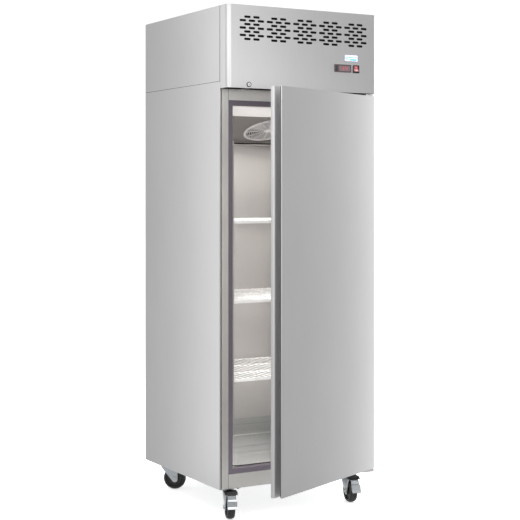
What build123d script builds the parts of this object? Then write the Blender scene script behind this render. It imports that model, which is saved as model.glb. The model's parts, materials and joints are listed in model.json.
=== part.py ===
from build123d import *
import os
from math import atan2, cos, degrees, radians, sin

# A single-door upright commercial refrigerator on swivel casters, its machinery above the cold cabinet.
# Working axes: x across the front from the left side panel, y back from the face of the front frame,
# z up from the floor. Every length is in millimetres.

# ---- driving dimensions: the cabinet --------------------------------------------------------------
WIDTH = 680.0
DEPTH = 675.0
HEIGHT = 1976.0
UNDERSIDE = 118.0
SEAM = 1684.7
SHEET = 1.2
LINER = 1.0
FRONT_STAND = 61.0
EDGE_RETURN = 5.0
EDGE_BEND = 2.4
STILE_FROM = 9.0
STILE_TO = 37.9
STRIP_TO = 56.6
FRAME_DEEP = 14.0
STRIP_DEEP = 30.0
RAIL_LOW_TOP = UNDERSIDE + 55.9
OPEN_LOW = UNDERSIDE + 76.3
OPEN_HIGH = UNDERSIDE + 1476.5
RAIL_HIGH_LOW = UNDERSIDE + 1496.2
INNER_BACK = 614.0
SEAM_GAP = 1.5

# ---- driving dimensions: the door -----------------------------------------------------------------
REST_OPEN = 24.57
DOOR_LEFT = 16.0
DOOR_LOW = 142.0
DOOR_HIGH = 1648.0
DOOR_BACK = -9.0
PIVOT_X = 660.0
PIVOT_Y = -41.0
HEM = 3.5
HEM_WIDE = 12.0
EDGE_ROUND = 3.0
SIDE_ROUND = 8.0
POCKET_DEEP = 40.0
POCKET_FLOOR = 25.0
NOSE_OUT = 14.0
NOSE_ROUND = 7.0
NOSE_SLANT = 20.0
NOSE_FALL = 13.0
CHANNEL_WIDE = 42.0
CAP = 10.0
HINGE_PIN = 5.0
PIN_GAP = 0.05
BOSS = 9.0

# ---- driving dimensions: the top front panel ------------------------------------------------------
PANEL_LOW = 1658.0
PANEL_BACK = -3.5
PANEL_ROUND = 18.0
PANEL_AXIS_Z = HEIGHT - 3.5
KNUCKLE = 3.0
VENT_PITCH = 39.7
VENT_FIRST_X = 68.0
VENT_GROUPS = 5
VENT_ROWS = 7
VENT_ROW_PITCH = 14.15
VENT_TOP_Z = UNDERSIDE + 1812.6
VENT_LONG = 28.6
VENT_HIGH = 9.2
CONTROL_X = 522.8
CONTROL_Z = UNDERSIDE + 1635.1
CONTROL_WIDE = 78.0
CONTROL_HIGH = 31.0
SWITCH_X = 586.4
SWITCH_Z = UNDERSIDE + 1635.0
SWITCH_WIDE = 30.0
SWITCH_HIGH = 32.0
ROCKER_TILT = 12.0
LABEL_X = 563.0
LABEL_Z = UNDERSIDE + 1678.0
LABEL_WIDE = 66.0
LABEL_HIGH = 28.7
LOCK_X = 94.2
LOCK_Z = UNDERSIDE + 1554.0
BOLT_Y = -46.0

# ---- driving dimensions: the inside ---------------------------------------------------------------
SHELF_MIDDLES = {"lower": UNDERSIDE + 411.0, "middle": UNDERSIDE + 716.0, "upper": UNDERSIDE + 1026.0}
SHELF_BAND = 11.5
SHELF_FRONT = 24.0
SHELF_BACK = 588.0
PILASTER_LOW = UNDERSIDE + 249.0
PILASTER_HIGH = UNDERSIDE + 1341.0
PILASTER_STANDS = 14.0
PILASTER_WIDE = 20.0
PILASTER_FRONTS = (15.0, 560.0)
COVER_FRONT_Y = 98.0
COVER_FRONT_Z = UNDERSIDE + 1443.0
COVER_BACK_Y = 320.0
COVER_BACK_Z = UNDERSIDE + 1356.0
FAN_Y = 215.0
GUARD_R = 103.0
BIN_FRONT = 26.0
BIN_BACK = 580.0
BIN_SIDE = 74.0
BIN_RIM = UNDERSIDE + 153.0
BIN_RIDGE = UNDERSIDE + 130.0

# ---- driving dimensions: the casters --------------------------------------------------------------
WHEEL_R = 47.25
TREAD = 30.0
TRAIL = 35.0
AXLE_R = 6.0
CROWN_TOP = 104.0
CASTERS = {
    "front_left": (64.0, 48.0, -0.3375, -0.941),
    "front_right": (WIDTH - 64.0, 48.0, -0.212, -0.977),
    "rear_left": (64.0, 600.0, 0.868, -0.496),
    "rear_right": (WIDTH - 64.0, 600.0, -0.45, 0.893),
}
PEDAL_S = 56.0
PEDAL_Z = 97.0

MID_X = WIDTH / 2
COVER_SLOPE = degrees(atan2(COVER_FRONT_Z - COVER_BACK_Z, COVER_BACK_Y - COVER_FRONT_Y))
COVER_FALL = (COVER_FRONT_Z - COVER_BACK_Z) / (COVER_BACK_Y - COVER_FRONT_Y)
FAN_Z = COVER_FRONT_Z - (FAN_Y - COVER_FRONT_Y) * COVER_FALL
DECK_TOP = SEAM - SEAM_GAP / 2
DECK_LOW = DECK_TOP - SHEET


# ---- helpers ---------------------------------------------------------------------------------------
def block(x0, x1, y0, y1, z0, z1):
    """A box between two planes on each axis."""
    return Pos((x0 + x1) / 2, (y0 + y1) / 2, (z0 + z1) / 2) * Box(x1 - x0, y1 - y0, z1 - z0)


def rod(x, y, z, radius, length, axis="z"):
    """A round bar that starts at a point and runs along an axis."""
    turn = {"x": Rot(0, 90, 0), "y": Rot(-90, 0, 0), "z": Rot(0, 0, 0)}[axis]
    return Pos(x, y, z) * turn * Cylinder(radius, length, align=(Align.CENTER, Align.CENTER, Align.MIN))


def along_x(points, x0, x1):
    """A prism along x with its section given as (y, z) points."""
    outline = make_face(Polyline(*[(x0, y, z) for y, z in points], close=True))
    return extrude(outline, x1 - x0, dir=(1, 0, 0))


def mirrored(part):
    """The same piece on the other side of the cabinet's middle."""
    return mirror(part, about=Plane.YZ.offset(MID_X))


def pair(part):
    """A piece and its mirror image."""
    return [part, mirrored(part)]


def solids_of(item):
    """Every solid in a piece, a group of pieces or a list of them."""
    if isinstance(item, (list, tuple)):
        return [s for piece in item for s in solids_of(piece)]
    return list(item.solids())


# ---- outer cabinet ---------------------------------------------------------------------------------
def side_panels():
    """The side sheets, each with its front edge bent round and a flange behind the stile."""
    side = block(0, SHEET, 0, DEPTH, UNDERSIDE, DECK_TOP)
    side += block(SHEET, EDGE_RETURN, 0, SHEET, UNDERSIDE + SHEET, DECK_LOW)
    corner = block(0, EDGE_BEND, 0, EDGE_BEND, UNDERSIDE, DECK_TOP)
    side -= corner - rod(EDGE_BEND, EDGE_BEND, UNDERSIDE, EDGE_BEND, DECK_TOP - UNDERSIDE)
    side += block(SHEET, STILE_FROM - 0.1, FRAME_DEEP - SHEET, FRAME_DEEP, UNDERSIDE + SHEET, DECK_LOW)
    return pair(side)


def back_panel():
    return block(SHEET, WIDTH - SHEET, DEPTH - SHEET, DEPTH, UNDERSIDE + SHEET, DECK_LOW)


def underside_panel():
    return block(SHEET, WIDTH - SHEET, 0, DEPTH, UNDERSIDE, UNDERSIDE + SHEET)


def frame_channel(x0, x1, z0, z1, upright_member):
    """A folded channel of the front frame: a face and two flanges that turn back."""
    face = block(x0, x1, 0, SHEET, z0, z1)
    if upright_member:
        face += block(x0, x0 + SHEET, SHEET, FRAME_DEEP, z0, z1)
        return face + block(x1 - SHEET, x1, SHEET, FRAME_DEEP, z0, z1)
    face += block(x0, x1, SHEET, FRAME_DEEP, z0, z0 + SHEET)
    return face + block(x0, x1, SHEET, FRAME_DEEP, z1 - SHEET, z1)


def front_frame():
    stile = frame_channel(STILE_FROM, STILE_TO, UNDERSIDE + SHEET, DECK_LOW, True)
    low_rail = frame_channel(STILE_TO, WIDTH - STILE_TO, UNDERSIDE + SHEET, RAIL_LOW_TOP, False)
    high_rail = frame_channel(STILE_TO, WIDTH - STILE_TO, RAIL_HIGH_LOW, DECK_LOW, False)
    return pair(stile) + [low_rail, high_rail]


def breaker_strips():
    side = block(STILE_TO, STRIP_TO, 0, STRIP_DEEP, RAIL_LOW_TOP, RAIL_HIGH_LOW)
    low = block(STRIP_TO, WIDTH - STRIP_TO, 0, STRIP_DEEP, RAIL_LOW_TOP, OPEN_LOW)
    high = block(STRIP_TO, WIDTH - STRIP_TO, 0, STRIP_DEEP, OPEN_HIGH, RAIL_HIGH_LOW)
    return pair(side) + [low, high]


def inner_walls():
    left, low, high = STRIP_TO - LINER, OPEN_LOW - LINER, OPEN_HIGH + LINER
    side = block(left, STRIP_TO, STRIP_DEEP, INNER_BACK, low, high)
    rear = block(left, WIDTH - left, INNER_BACK, INNER_BACK + LINER, low, high)
    return pair(side) + [rear]


def pipe_pass():
    """The two pipe holes through the cabinet's insulated top."""
    holes = [rod(x, PASS_Y, OPEN_HIGH - 5, PASS_R, DECK_TOP - OPEN_HIGH + 10) for x in PASS_XS]
    return holes[0] + holes[1]


def inner_floor_and_ceiling():
    floor = block(STRIP_TO, WIDTH - STRIP_TO, STRIP_DEEP, INNER_BACK, OPEN_LOW - LINER, OPEN_LOW)
    ceiling = block(STRIP_TO, WIDTH - STRIP_TO, STRIP_DEEP, INNER_BACK, OPEN_HIGH, OPEN_HIGH + LINER)
    return [floor, ceiling - pipe_pass()]


def wall_foam():
    low, high, back = UNDERSIDE + SHEET, DECK_LOW, DEPTH - SHEET
    wall = STRIP_TO - LINER
    side = block(SHEET, STILE_TO, FRAME_DEEP, STRIP_DEEP, low, high)
    side += block(SHEET, wall, STRIP_DEEP, back, low, high)
    below = block(STILE_TO, WIDTH - STILE_TO, FRAME_DEEP, STRIP_DEEP, low, RAIL_LOW_TOP)
    below += block(wall, WIDTH - wall, STRIP_DEEP, back, low, OPEN_LOW - LINER)
    above = block(STILE_TO, WIDTH - STILE_TO, FRAME_DEEP, STRIP_DEEP, RAIL_HIGH_LOW, high)
    above += block(wall, WIDTH - wall, STRIP_DEEP, back, OPEN_HIGH + LINER, high)
    rear = block(wall, WIDTH - wall, INNER_BACK + LINER, back, OPEN_LOW - LINER, OPEN_HIGH + LINER)
    return pair(side) + [below, above - pipe_pass(), rear]


# ---- shelf supports and shelves --------------------------------------------------------------------
SLOT_STEP = 51.25
SLOT_HIGH = 14.0
SLOT_WIDE = 5.0


def pilaster(front):
    """A slotted channel that stands on the left inner wall."""
    x0, x1 = STRIP_TO, STRIP_TO + PILASTER_STANDS
    body = block(x0, x1, front, front + PILASTER_WIDE, PILASTER_LOW, PILASTER_HIGH)
    body -= block(x0, x1 - SHEET, front + SHEET, front + PILASTER_WIDE - SHEET, PILASTER_LOW, PILASTER_HIGH)
    middle = front + PILASTER_WIDE / 2
    first = SHELF_MIDDLES["lower"] - SHELF_BAND / 2 - SLOT_HIGH / 2 - 2 * SLOT_STEP
    count = int((PILASTER_HIGH - 20 - first) / SLOT_STEP) + 1
    slots = [
        block(x1 - SHEET - 1, x1 + 1, middle - SLOT_WIDE / 2, middle + SLOT_WIDE / 2, z, z + SLOT_HIGH)
        for z in [first - SLOT_HIGH / 2 + n * SLOT_STEP for n in range(count)]
    ]
    return body - slots


def shelf_pilasters():
    return [piece for front in PILASTER_FRONTS for piece in pair(pilaster(front))]


REST_GAP = 0.3
CLIP_OUT = 9.0
CLIP_THICK = 2.0


def shelf_clips():
    """Folded hooks, one under each corner of each shelf."""
    x0 = STRIP_TO + PILASTER_STANDS
    clips = []
    for middle in SHELF_MIDDLES.values():
        top = middle - SHELF_BAND / 2 - REST_GAP
        for front in PILASTER_FRONTS:
            y0, y1 = front + 4, front + PILASTER_WIDE - 4
            plate = block(x0, x0 + CLIP_THICK, y0, y1, top - 16, top)
            tongue = block(x0, x0 + CLIP_OUT, y0, y1, top - CLIP_THICK, top)
            clips += pair(plate + tongue)
    return clips


SHELF_SIDE = STRIP_TO + PILASTER_STANDS + 2.0
FRAME_WIRE = 4.0
GRID_WIRE = 2.0
GRID_COUNT = 19


def wire_shelf(middle):
    """A welded shelf: a frame of round bar, a flat front band, cross bars and front-to-back wires."""
    low = middle - SHELF_BAND / 2
    x0, x1 = SHELF_SIDE, WIDTH - SHELF_SIDE
    bar_z = low + FRAME_WIRE
    shelf = block(x0, x1, SHELF_FRONT, SHELF_FRONT + 4, low, low + SHELF_BAND)
    for x in (x0 + FRAME_WIRE, x1 - FRAME_WIRE):
        shelf += rod(x, SHELF_FRONT + 2, bar_z, FRAME_WIRE, SHELF_BACK - SHELF_FRONT - 2 - FRAME_WIRE, "y")
    for y in (SHELF_BACK - FRAME_WIRE, SHELF_FRONT + 190, SHELF_FRONT + 380):
        shelf += rod(x0 + 1, y, bar_z, FRAME_WIRE - 0.5, x1 - x0 - 2, "x")
    step = (x1 - x0 - 2 * FRAME_WIRE) / (GRID_COUNT + 1)
    wire_z, wire_long = bar_z + FRAME_WIRE, SHELF_BACK - SHELF_FRONT - 4
    wires = [
        rod(x0 + FRAME_WIRE + n * step, SHELF_FRONT + 2, wire_z, GRID_WIRE, wire_long, "y")
        for n in range(1, GRID_COUNT + 1)
    ]
    return shelf + wires


# ---- produce bin -----------------------------------------------------------------------------------
def bin_shell(inset, z0, z1, corner):
    plan = RectangleRounded(WIDTH - 2 * (BIN_SIDE + inset), BIN_BACK - BIN_FRONT - 2 * inset, corner)
    return extrude(Pos(MID_X, (BIN_FRONT + BIN_BACK) / 2, z0) * plan, z1 - z0)


def produce_bin():
    """A clear tray with a ledge round it and a thickened rim."""
    wall = 3.0
    low = OPEN_LOW + REST_GAP
    lower = bin_shell(4, low, BIN_RIDGE, 22) - bin_shell(4 + wall, low + wall, BIN_RIDGE, 19)
    upper = bin_shell(0, BIN_RIDGE - wall, BIN_RIM, 26) - bin_shell(wall, BIN_RIDGE, BIN_RIM, 23)
    upper -= bin_shell(4 + wall, BIN_RIDGE - wall, BIN_RIDGE, 19)
    return lower + upper


# ---- evaporator and fan under the ceiling ----------------------------------------------------------
PASS_XS = (575.0, 600.0)
PASS_Y = 448.0
COLD_HALF = 92.0
PASS_R = 6.5
LIP_LOW = COVER_BACK_Z - 9.0
TRAY_BACK = 592.0


def on_cover(along_normal, part):
    """Places a part whose own z axis points up through the sloping cover at the fan's centre."""
    return Pos(MID_X, FAN_Y, FAN_Z) * Rot(-COVER_SLOPE, 0, 0) * Pos(0, 0, along_normal) * part


def interior_light():
    """The lamp's wedge-shaped white lens, between the ceiling and the cover."""
    section = [
        (STRIP_DEEP + 1, OPEN_HIGH),
        (COVER_FRONT_Y, OPEN_HIGH),
        (COVER_FRONT_Y, COVER_FRONT_Z - 1),
        (COVER_FRONT_Y - 5, COVER_FRONT_Z - 1),
        (STRIP_DEEP + 1, OPEN_HIGH - 4),
    ]
    return along_x(section, STRIP_TO + 1, WIDTH - STRIP_TO - 1)


def evaporator_cover():
    """A folded sheet that slopes down to the rear and ends in a lip, with the fan's round hole."""
    drop = SHEET / cos(radians(COVER_SLOPE))
    section = [
        (COVER_FRONT_Y, OPEN_HIGH),
        (COVER_FRONT_Y, COVER_FRONT_Z),
        (COVER_BACK_Y, COVER_BACK_Z),
        (COVER_BACK_Y, LIP_LOW),
        (COVER_BACK_Y + SHEET, LIP_LOW),
        (COVER_BACK_Y + SHEET, COVER_BACK_Z + drop),
        (COVER_FRONT_Y + SHEET, COVER_FRONT_Z + drop),
        (COVER_FRONT_Y + SHEET, OPEN_HIGH),
    ]
    sheet = along_x(section, STRIP_TO, WIDTH - STRIP_TO)
    return sheet - on_cover(0, Cylinder(GUARD_R - 8, 20))


def drain_tray():
    """The shallow tray under the coil, open at the rear for the air."""
    x0, x1 = STRIP_TO, WIDTH - STRIP_TO
    y0 = COVER_BACK_Y + SHEET
    tray = block(x0, x1, y0, TRAY_BACK, LIP_LOW, LIP_LOW + SHEET)
    tray += block(x0, x1, TRAY_BACK - SHEET, TRAY_BACK, LIP_LOW + SHEET, LIP_LOW + 30)
    return tray


def fan_guard():
    """A moulded guard: outer ring, hub disc, spokes and fine rings."""
    thick, fine, spoke = 3.0, 1.4, 3.2
    face = Circle(GUARD_R) - Circle(GUARD_R - 11)
    face += Circle(16)
    for n in range(9):
        radius = 22 + 8 * n
        face += Circle(radius + fine / 2) - Circle(radius - fine / 2)
    for n in range(12):
        face += Rot(0, 0, 30 * n + 15) * Pos(GUARD_R / 2 + 3, 0) * Rectangle(GUARD_R - 14, spoke)
    return on_cover(-thick, extrude(face, thick))


def fan_blades(radius, hub_r, hub_long, count, chord, pitch):
    """A fan wheel about its own z axis: a hub with its shaft socket and flat pitched blades."""
    wheel = Cylinder(hub_r, hub_long)
    reach = radius - hub_r + 3
    outline = Rectangle(reach, chord)
    outline = fillet(outline.vertices().sort_by(Axis.X)[-2:], 12)
    blade = Rot(pitch, 0, 0) * extrude(outline, 0.8, both=True)
    for n in range(count):
        wheel += Rot(0, 0, 360 / count * n) * Pos(hub_r - 3 + reach / 2, 0, 0) * blade
    return wheel


COLD_LEFT, COLD_RIGHT, COLD_END = 120.0, 540.0, 16.0
COLD_LOW, COLD_HIGH, COLD_ROWS = LIP_LOW + SHEET, OPEN_HIGH - 14, 3
EVAP_BLADE_AT = 19.0
EVAP_MOTOR_AT = 35.0
COND_X = 430.0
COND_Z = 1812.0
COND_BLADE_Y = 88.0
COND_MOTOR_Y = 104.0
SHAFT_R = 4.0
SHAFT_BORE = SHAFT_R + PIN_GAP


def evaporator_fan_blades():
    wheel = fan_blades(86, 22, 20, 5, 44, 24) - Cylinder(SHAFT_BORE, 60)
    return on_cover(EVAP_BLADE_AT, wheel)


def condenser_fan_blades():
    wheel = fan_blades(98, 26, 22, 5, 52, 24) - Cylinder(SHAFT_BORE, 60)
    return Pos(COND_X, COND_BLADE_Y, COND_Z) * Rot(-90, 0, 0) * wheel


def fan_motors():
    """The two fan motors, each a body with a shaft and its own carrier."""
    up = (Align.CENTER, Align.CENTER, Align.MIN)
    inner = on_cover(EVAP_MOTOR_AT, Cylinder(30, 26, align=up))
    inner += on_cover(EVAP_BLADE_AT - 10, Cylinder(SHAFT_R, 30, align=up))
    strap_z = OPEN_HIGH - 3
    inner += block(MID_X - 12, MID_X + 12, FAN_Y + 2, FAN_Y + 60, strap_z, OPEN_HIGH)
    inner += block(MID_X - 12, MID_X + 12, FAN_Y + 22, FAN_Y + 34, strap_z - 30, strap_z)
    outer = rod(COND_X, COND_MOTOR_Y, COND_Z, 36, 44, "y")
    outer += rod(COND_X, COND_BLADE_Y - 10, COND_Z, SHAFT_R, 30, "y")
    outer += block(COND_X - 128, COND_X + 128, COND_MOTOR_Y + 44, COND_MOTOR_Y + 47, COND_Z - 12, COND_Z + 12)
    return [inner, outer]


def finned_coil(x0, x1, y0, y1, z0, z1, step, groove, rows, end):
    """A tube-and-fin block: grooves between the fins and return bends at both ends."""
    body = block(x0, x1, y0, y1, z0, z1)
    count = int((x1 - x0) / step)
    cuts = [
        block(x0 + (n + 0.5) * step, x0 + (n + 0.5) * step + step * 0.6, face, face + groove, z0 - 1, z1 + 1)
        for n in range(count)
        for face in (y0 - 1, y1 + 1 - groove)
    ]
    body -= cuts
    middle = (y0 + y1) / 2
    pitch = (z1 - z0) / rows
    for n in range(rows):
        z = z0 + (n + 0.5) * pitch
        body += rod(x0 - end, middle, z, 4.5, x1 - x0 + 2 * end, "x")
    return body


def evaporator_coil():
    """The cold coil, standing in its drain tray."""
    front, back = PASS_Y - COLD_HALF, PASS_Y + COLD_HALF
    return finned_coil(COLD_LEFT, COLD_RIGHT, front, back, COLD_LOW, COLD_HIGH, 14, 9, COLD_ROWS, COLD_END)


# ---- machine compartment ---------------------------------------------------------------------------
COND_FRONT = 22.0
COND_DEEP = 40.0
SHROUD_Y = COND_FRONT + COND_DEEP
COND_LEFT, COND_RIGHT, COND_END = 280.0, 580.0, 14.0
COND_LOW, COND_HIGH, COND_ROWS = DECK_TOP + 20, DECK_TOP + 236, 6


def machine_deck():
    return block(SHEET, WIDTH - SHEET, 0, DEPTH, DECK_LOW, DECK_TOP) - pipe_pass()


def housing_sides():
    low = SEAM + SEAM_GAP / 2
    sheet = block(0, SHEET, 0, DEPTH, low, HEIGHT - SHEET)
    foot = block(SHEET * 0.75, 21, 4, DEPTH - SHEET, DECK_TOP, low)
    return pair(sheet + foot)


def housing_back():
    """The rear sheet with rows of louvre slots."""
    sheet = block(SHEET, WIDTH - SHEET, DEPTH - SHEET, DEPTH, SEAM + SEAM_GAP / 2, HEIGHT - SHEET)
    slot = Rot(90, 0, 0) * extrude(SlotOverall(90, 8), 10, both=True)
    places = [
        (x, z) for x in (140, 240, 340, 440, 540) for z in [SEAM + 70 + 22 * n for n in range(8)]
    ]
    sheet -= [Pos(x, DEPTH, z) * slot for x, z in places]
    return sheet - gland_hole(GLAND_R)


KNUCKLE_SPAN = 120.0
KNUCKLE_END = 0.3
KNUCKLE_STARTS = [40.0 + KNUCKLE_SPAN * n for n in range(5)]
HINGE_WIRE = 1.2


def housing_top():
    """The top sheet, its front flange, and the fixed barrels and wire of the panel's hinge."""
    top = block(0, WIDTH, 0, DEPTH, HEIGHT - SHEET, HEIGHT)
    top += block(SHEET, WIDTH - SHEET, 0, SHEET, HEIGHT - 26, HEIGHT - SHEET)
    for start in KNUCKLE_STARTS[::2]:
        left, right = start + KNUCKLE_END, start + KNUCKLE_SPAN - KNUCKLE_END
        top += block(left, right, PANEL_BACK, 0.5, PANEL_AXIS_Z - 1, PANEL_AXIS_Z + 1)
        top += rod(left, PANEL_BACK, PANEL_AXIS_Z, KNUCKLE, right - left, "x")
    span = KNUCKLE_STARTS[-1] + KNUCKLE_SPAN - KNUCKLE_STARTS[0] - 1
    return top + rod(KNUCKLE_STARTS[0] + 0.5, PANEL_BACK, PANEL_AXIS_Z, HINGE_WIRE, span, "x")


COMP_X, COMP_Y, COMP_R = 160.0, 300.0, 78.0


def compressor():
    """A hermetic compressor pot on a foot plate with four rubber feet."""
    pot = rod(COMP_X, COMP_Y, DECK_TOP + 24, COMP_R, 150)
    pot = fillet(pot.edges(), 26)
    plate = block(COMP_X - 95, COMP_X + 95, COMP_Y - 60, COMP_Y + 60, DECK_TOP + 16, DECK_TOP + 25)
    feet = [
        rod(COMP_X + dx, COMP_Y + dy, DECK_TOP, 12, 16) for dx in (-80, 80) for dy in (-45, 45)
    ]
    near = COMP_X + COMP_R
    box = block(near - 6, near + 30, COMP_Y - 35, COMP_Y + 35, DECK_TOP + 70, DECK_TOP + 140)
    return pot + plate + feet + box


def condenser_coil():
    """The warm coil and the fan's ring plate on its rear face, on two feet."""
    span = (COND_LEFT, COND_RIGHT, COND_FRONT, SHROUD_Y, COND_LOW, COND_HIGH)
    coil = finned_coil(*span, 12, 7, COND_ROWS, COND_END)
    plate = block(COND_LEFT, COND_RIGHT, SHROUD_Y, SHROUD_Y + 2, DECK_TOP, COND_HIGH)
    plate -= rod(COND_X, SHROUD_Y - 1, COND_Z, 103, 4, "y")
    ring = rod(COND_X, SHROUD_Y, COND_Z, 106, 24, "y") - rod(COND_X, SHROUD_Y - 1, COND_Z, 103, 26, "y")
    arms = [
        block(x, x + 6, SHROUD_Y + 2, COND_MOTOR_Y + 44, COND_Z - 12, COND_Z + 12)
        for x in (COND_X - 128, COND_X + 122)
    ]
    feet = block(COND_LEFT, COND_RIGHT, COND_FRONT + 4, SHROUD_Y, DECK_TOP, COND_LOW)
    return coil + plate + ring + arms + feet


def tube(points, radii, radius):
    """A bent refrigerant tube of the given radius along a rounded path."""
    path = FilletPolyline(*points, radius=radii)
    section = Plane(path @ 0, z_dir=path % 0) * Circle(radius)
    return sweep(section, path=path)


def coil_row(z0, z1, rows, n):
    """The height of one row of tubes in a finned coil."""
    return z0 + (n + 0.5) * (z1 - z0) / rows


def refrigerant_pipes():
    """Discharge, liquid and suction lines, with the filter drier brazed into the liquid line."""
    pot_top = DECK_TOP + 174
    warm_in = coil_row(COND_LOW, COND_HIGH, COND_ROWS, COND_ROWS - 1)
    warm_out = coil_row(COND_LOW, COND_HIGH, COND_ROWS, 0)
    cold_in = coil_row(COLD_LOW, COLD_HIGH, COLD_ROWS, 0)
    cold_out = coil_row(COLD_LOW, COLD_HIGH, COLD_ROWS, COLD_ROWS - 1)
    warm_y = COND_FRONT + COND_DEEP / 2
    suction_x, liquid_x = PASS_XS
    warm_left, warm_right = COND_LEFT - COND_END, COND_RIGHT + COND_END
    discharge = tube(
        [
            (COMP_X, COMP_Y, pot_top),
            (COMP_X, COMP_Y, warm_in),
            (warm_left - 20, COMP_Y, warm_in),
            (warm_left - 20, warm_y, warm_in),
            (warm_left, warm_y, warm_in),
        ],
        12,
        4,
    )
    side_x, drier_z, drier_y = 620.0, 1742.0, 270.0
    liquid = tube(
        [
            (warm_right, warm_y, warm_out),
            (side_x, warm_y, warm_out),
            (side_x, 200, warm_out),
            (side_x, 200, drier_z),
            (side_x, drier_y, drier_z),
        ],
        8,
        3,
    )
    drier = fillet(rod(side_x, drier_y, drier_z, 13, 90, "y").edges(), 6)
    to_coil = tube(
        [
            (side_x, drier_y + 90, drier_z),
            (side_x, PASS_Y, drier_z),
            (liquid_x, PASS_Y, drier_z),
            (liquid_x, PASS_Y, cold_in),
            (COLD_RIGHT + COLD_END, PASS_Y, cold_in),
        ],
        8,
        3,
    )
    suction = tube(
        [
            (COLD_RIGHT + COLD_END, PASS_Y, cold_out),
            (suction_x, PASS_Y, cold_out),
            (suction_x, PASS_Y, 1790),
            (300, PASS_Y, 1790),
            (300, COMP_Y, 1790),
            (300, COMP_Y, 1740),
            (COMP_X + COMP_R, COMP_Y, 1740),
        ],
        14,
        5,
    )
    return [discharge, liquid, drier, to_coil, suction]


def evaporation_pan():
    """The pan on the deck that takes the defrost water."""
    pan = block(60, 240, 440, 640, DECK_TOP, DECK_TOP + 40)
    return pan - block(62, 238, 442, 638, DECK_TOP + 2, DECK_TOP + 41)


def control_box():
    """The wiring enclosure with its lid."""
    box = block(400, 540, 500, 620, DECK_TOP, DECK_TOP + 80)
    lid = block(397, 543, 497, 623, DECK_TOP + 80, DECK_TOP + 84)
    return fillet(box.edges().filter_by(Axis.Z), 4) + fillet(lid.edges().filter_by(Axis.Z), 6)


GLAND_X, GLAND_Z, GLAND_R = 620.0, SEAM + 45.0, 10.0


def gland_hole(radius):
    return rod(GLAND_X, DEPTH - 30, GLAND_Z, radius, 60, "y")


def cable_gland():
    """The mains inlet gland in the rear sheet: a threaded body, a lock nut and a low dome."""
    inner = DEPTH - SHEET
    hexagon = Rot(90, 0, 0) * extrude(RegularPolygon(14, 6), 6)
    gland = rod(GLAND_X, inner - 14, GLAND_Z, GLAND_R, 14 + SHEET, "y")
    gland += Pos(GLAND_X, inner, GLAND_Z) * hexagon
    return gland - gland_hole(5)


# ---- door hinges -----------------------------------------------------------------------------------
def hinge_brackets():
    """The lower and upper door brackets with their pins and washers, both screwed to the front frame."""
    low = block(625, 680, PIVOT_Y - 17, 0, 130, 140) + block(632, 674, -2.5, 0, 140, 165)
    low = fillet(low.edges().filter_by(Axis.Z).sort_by(Axis.Y)[:2], 8)
    low += rod(PIVOT_X, PIVOT_Y, 139, HINGE_PIN, 29) + rod(PIVOT_X, PIVOT_Y, 140, BOSS, DOOR_LOW - 140.3)
    high = block(640, 678, PIVOT_Y - 14, 0, 1650, 1655) + block(640, 678, -2.5, 0, 1655, 1682)
    high = fillet(high.edges().filter_by(Axis.Z).sort_by(Axis.Y)[:2], 8)
    washer = DOOR_HIGH + 0.3
    high += rod(PIVOT_X, PIVOT_Y, 1622, HINGE_PIN, 29) + rod(PIVOT_X, PIVOT_Y, washer, BOSS, 1650 - washer)
    return [low, high]


# ---- door, drawn closed and then opened to its rest angle ------------------------------------------
FRONT = -FRONT_STAND
CORE_FROM = DOOR_LEFT + CHANNEL_WIDE


def opened(part):
    """Turns a piece of the closed door to its rest angle about the hinge line."""
    return Pos(PIVOT_X, PIVOT_Y, 0) * Rot(0, 0, REST_OPEN) * Pos(-PIVOT_X, -PIVOT_Y, 0) * part


def corner_arc(cx, cy, radius, start, end):
    """An arc about a centre between two bearings in degrees."""
    at = [radians(a) for a in (start, (start + end) / 2, end)]
    return ThreePointArc(*[(cx + radius * cos(a), cy + radius * sin(a)) for a in at])


def standing(edges, z0, z1):
    """A prism on a closed outline of lines and arcs."""
    return extrude(Pos(0, 0, z0) * make_face(Curve() + edges), z1 - z0)


def door_skin():
    """The front sheet: a hemmed free edge, a flat face and a rounded right return."""
    right, r, inner = WIDTH, SIDE_ROUND, SIDE_ROUND - SHEET
    cx, cy = right - r, FRONT + r
    ex, ey = DOOR_LEFT + EDGE_ROUND, FRONT + EDGE_ROUND
    edges = [
        corner_arc(ex, ey, EDGE_ROUND, 180, 270),
        Line((ex, FRONT), (cx, FRONT)),
        corner_arc(cx, cy, r, 270, 360),
        Polyline((right, cy), (right, DOOR_BACK), (right - SHEET, DOOR_BACK), (right - SHEET, cy)),
        corner_arc(cx, cy, inner, 360, 270),
        Polyline(
            (cx, FRONT + SHEET),
            (DOOR_LEFT + HEM_WIDE, FRONT + SHEET),
            (DOOR_LEFT + HEM_WIDE, FRONT + HEM),
            (DOOR_LEFT, FRONT + HEM),
            (DOOR_LEFT, ey),
        ),
    ]
    return opened(standing(edges, DOOR_LOW, DOOR_HIGH))


def door_handle_channel():
    """The full-height finger pocket: a floor, a back wall, a rounded nose and a slanted back."""
    back_w = DOOR_BACK - FRONT

    def at(u, w):
        return (DOOR_LEFT + u, FRONT + w)

    edges = [
        corner_arc(*at(NOSE_ROUND - NOSE_OUT, POCKET_FLOOR + NOSE_ROUND), NOSE_ROUND, 180, 270),
        Polyline(
            at(NOSE_ROUND - NOSE_OUT, POCKET_FLOOR),
            at(POCKET_DEEP, POCKET_FLOOR),
            at(POCKET_DEEP, HEM),
            at(HEM_WIDE, HEM),
            at(HEM_WIDE, SHEET),
            at(CHANNEL_WIDE, SHEET),
            at(CHANNEL_WIDE, back_w),
            at(NOSE_SLANT - NOSE_OUT, back_w),
            at(-NOSE_OUT, back_w - NOSE_FALL),
            at(-NOSE_OUT, POCKET_FLOOR + NOSE_ROUND),
        ),
    ]
    return opened(standing(edges, DOOR_LOW, DOOR_HIGH))


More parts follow.
